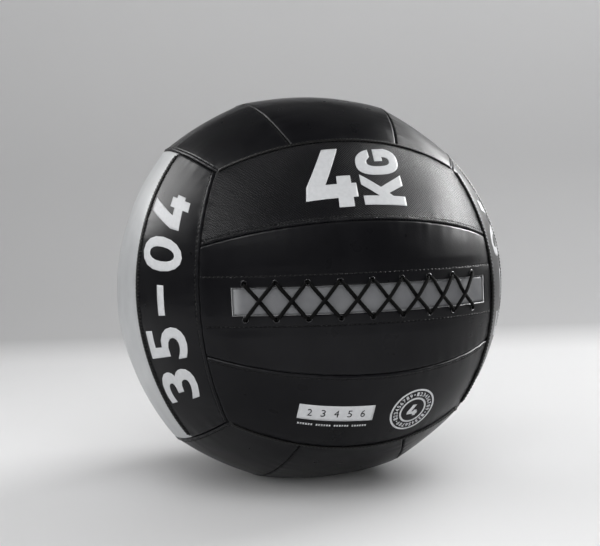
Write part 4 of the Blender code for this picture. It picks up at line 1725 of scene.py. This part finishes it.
def build_stage():
    """A pale floor that sweeps up into the wall behind."""
    foot = sweep_far - sweep_bend
    profile = [(sweep_near, 0)]
    for turn in np.linspace(0, math.pi / 2, 16):
        profile.append((foot + sweep_bend * math.sin(turn), sweep_bend * (1 - math.cos(turn))))
    profile.append((sweep_far, sweep_height))
    points = [(x, y, z) for y, z in profile for x in (-sweep_half_width, sweep_half_width)]
    polygons = [(2 * i, 2 * i + 1, 2 * i + 3, 2 * i + 2) for i in range(len(profile) - 1)]
    mesh = mesh_of("studio_sweep", points, polygons)
    mesh.shade_smooth()
    mesh.materials.append(sweep_paper())
    sweep = new_object("studio_sweep", mesh)
    sweep.rotation_euler.z = sweep_turn


# For each softbox: its azimuth rightwards from the laced side, elevation, distance, size and radiance.
# The gloss ones are seen by highlights only, and matt light comes from the others only.
softboxes = {
    "gloss": {
        "right_low_near": (96, 23, 1.6, (0.85, 0.46), 40.0),
        "right_low_far": (125, 23, 1.6, (0.85, 0.46), 12.0),
        "right_high": (96, 40, 1.6, (1.1, 0.7), 5.5),
        "right_front": (75, 30, 1.6, (0.5, 0.7), 6.0),
        "right_foot": (110, 8, 1.6, (1.4, 0.3), 1.2),
        "left_low": (-128, 25, 1.6, (0.8, 0.35), 10.0),
        "left_high": (-128, 38, 1.6, (0.8, 0.35), 7.0),
        "left_side": (-70, 48, 1.6, (0.7, 0.5), 15.0),
        "left_front": (-40, 35, 1.6, (0.8, 0.6), 2.4),
        "behind": (178, 50, 1.6, (1.6, 0.8), 0.1),
    },
    "matt": {
        "front": (-14, 12, 1.1, (1.1, 0.7), 1.6),
        "front_low": (-14, 3, 1.3, (1.6, 0.35), 0.75),
        "front_high": (-10, 50, 1.6, (1.4, 1.0), 2.1),
        "left": (-95, 6, 1.2, (0.7, 0.7), 2.3),
        "left_back": (-110, 40, 1.8, (1.2, 1.2), 0.85),
        "right": (112, 42, 2.0, (1.2, 1.2), 5.5),
        "back": (170, 60, 1.6, (1.6, 1.0), 0.65),
        "over": (60, 82, 1.5, (1.6, 1.6), 0.36),
    },
}


def add_softbox(name, seen_by, azimuth, elevation, distance, size, radiance):
    """An area light aimed at the ball."""
    light = bpy.data.lights.new(name, "AREA")
    light.shape = "RECTANGLE"
    light.size, light.size_y = size
    light.energy = radiance * math.pi * size[0] * size[1]
    obj = new_object(name, light)
    turn, rise = math.radians(azimuth), math.radians(elevation)
    way = Vector((math.sin(turn) * math.cos(rise), -math.cos(turn) * math.cos(rise), math.sin(rise)))
    obj.location = ball_middle + way * distance
    obj.rotation_euler = way.to_track_quat("Z", "Y").to_euler()
    obj.visible_camera = False
    obj.visible_glossy = seen_by == "gloss"
    obj.visible_diffuse = seen_by == "matt"


def build_lights():
    world = bpy.data.worlds.new("studio")
    world.use_nodes = True
    world.node_tree.nodes["Background"].inputs["Color"].default_value = (1, 1, 1, 1)
    world.node_tree.nodes["Background"].inputs["Strength"].default_value = world_radiance
    bpy.context.scene.world = world
    for seen_by, boxes in softboxes.items():
        for name, values in boxes.items():
            add_softbox(name, seen_by, *values)


bpy.context.scene.view_settings.view_transform = "Standard"
build_camera()
cover = build_cover()
build_stitches(cover)
build_eyelets()
build_laces()
build_tongue()
build_tapes()
build_lining()
build_stuffing()
build_core()
for build in (weight_mark, plain_label, round_badge, side_figures):
    build(cover)
build_stage()
build_lights()
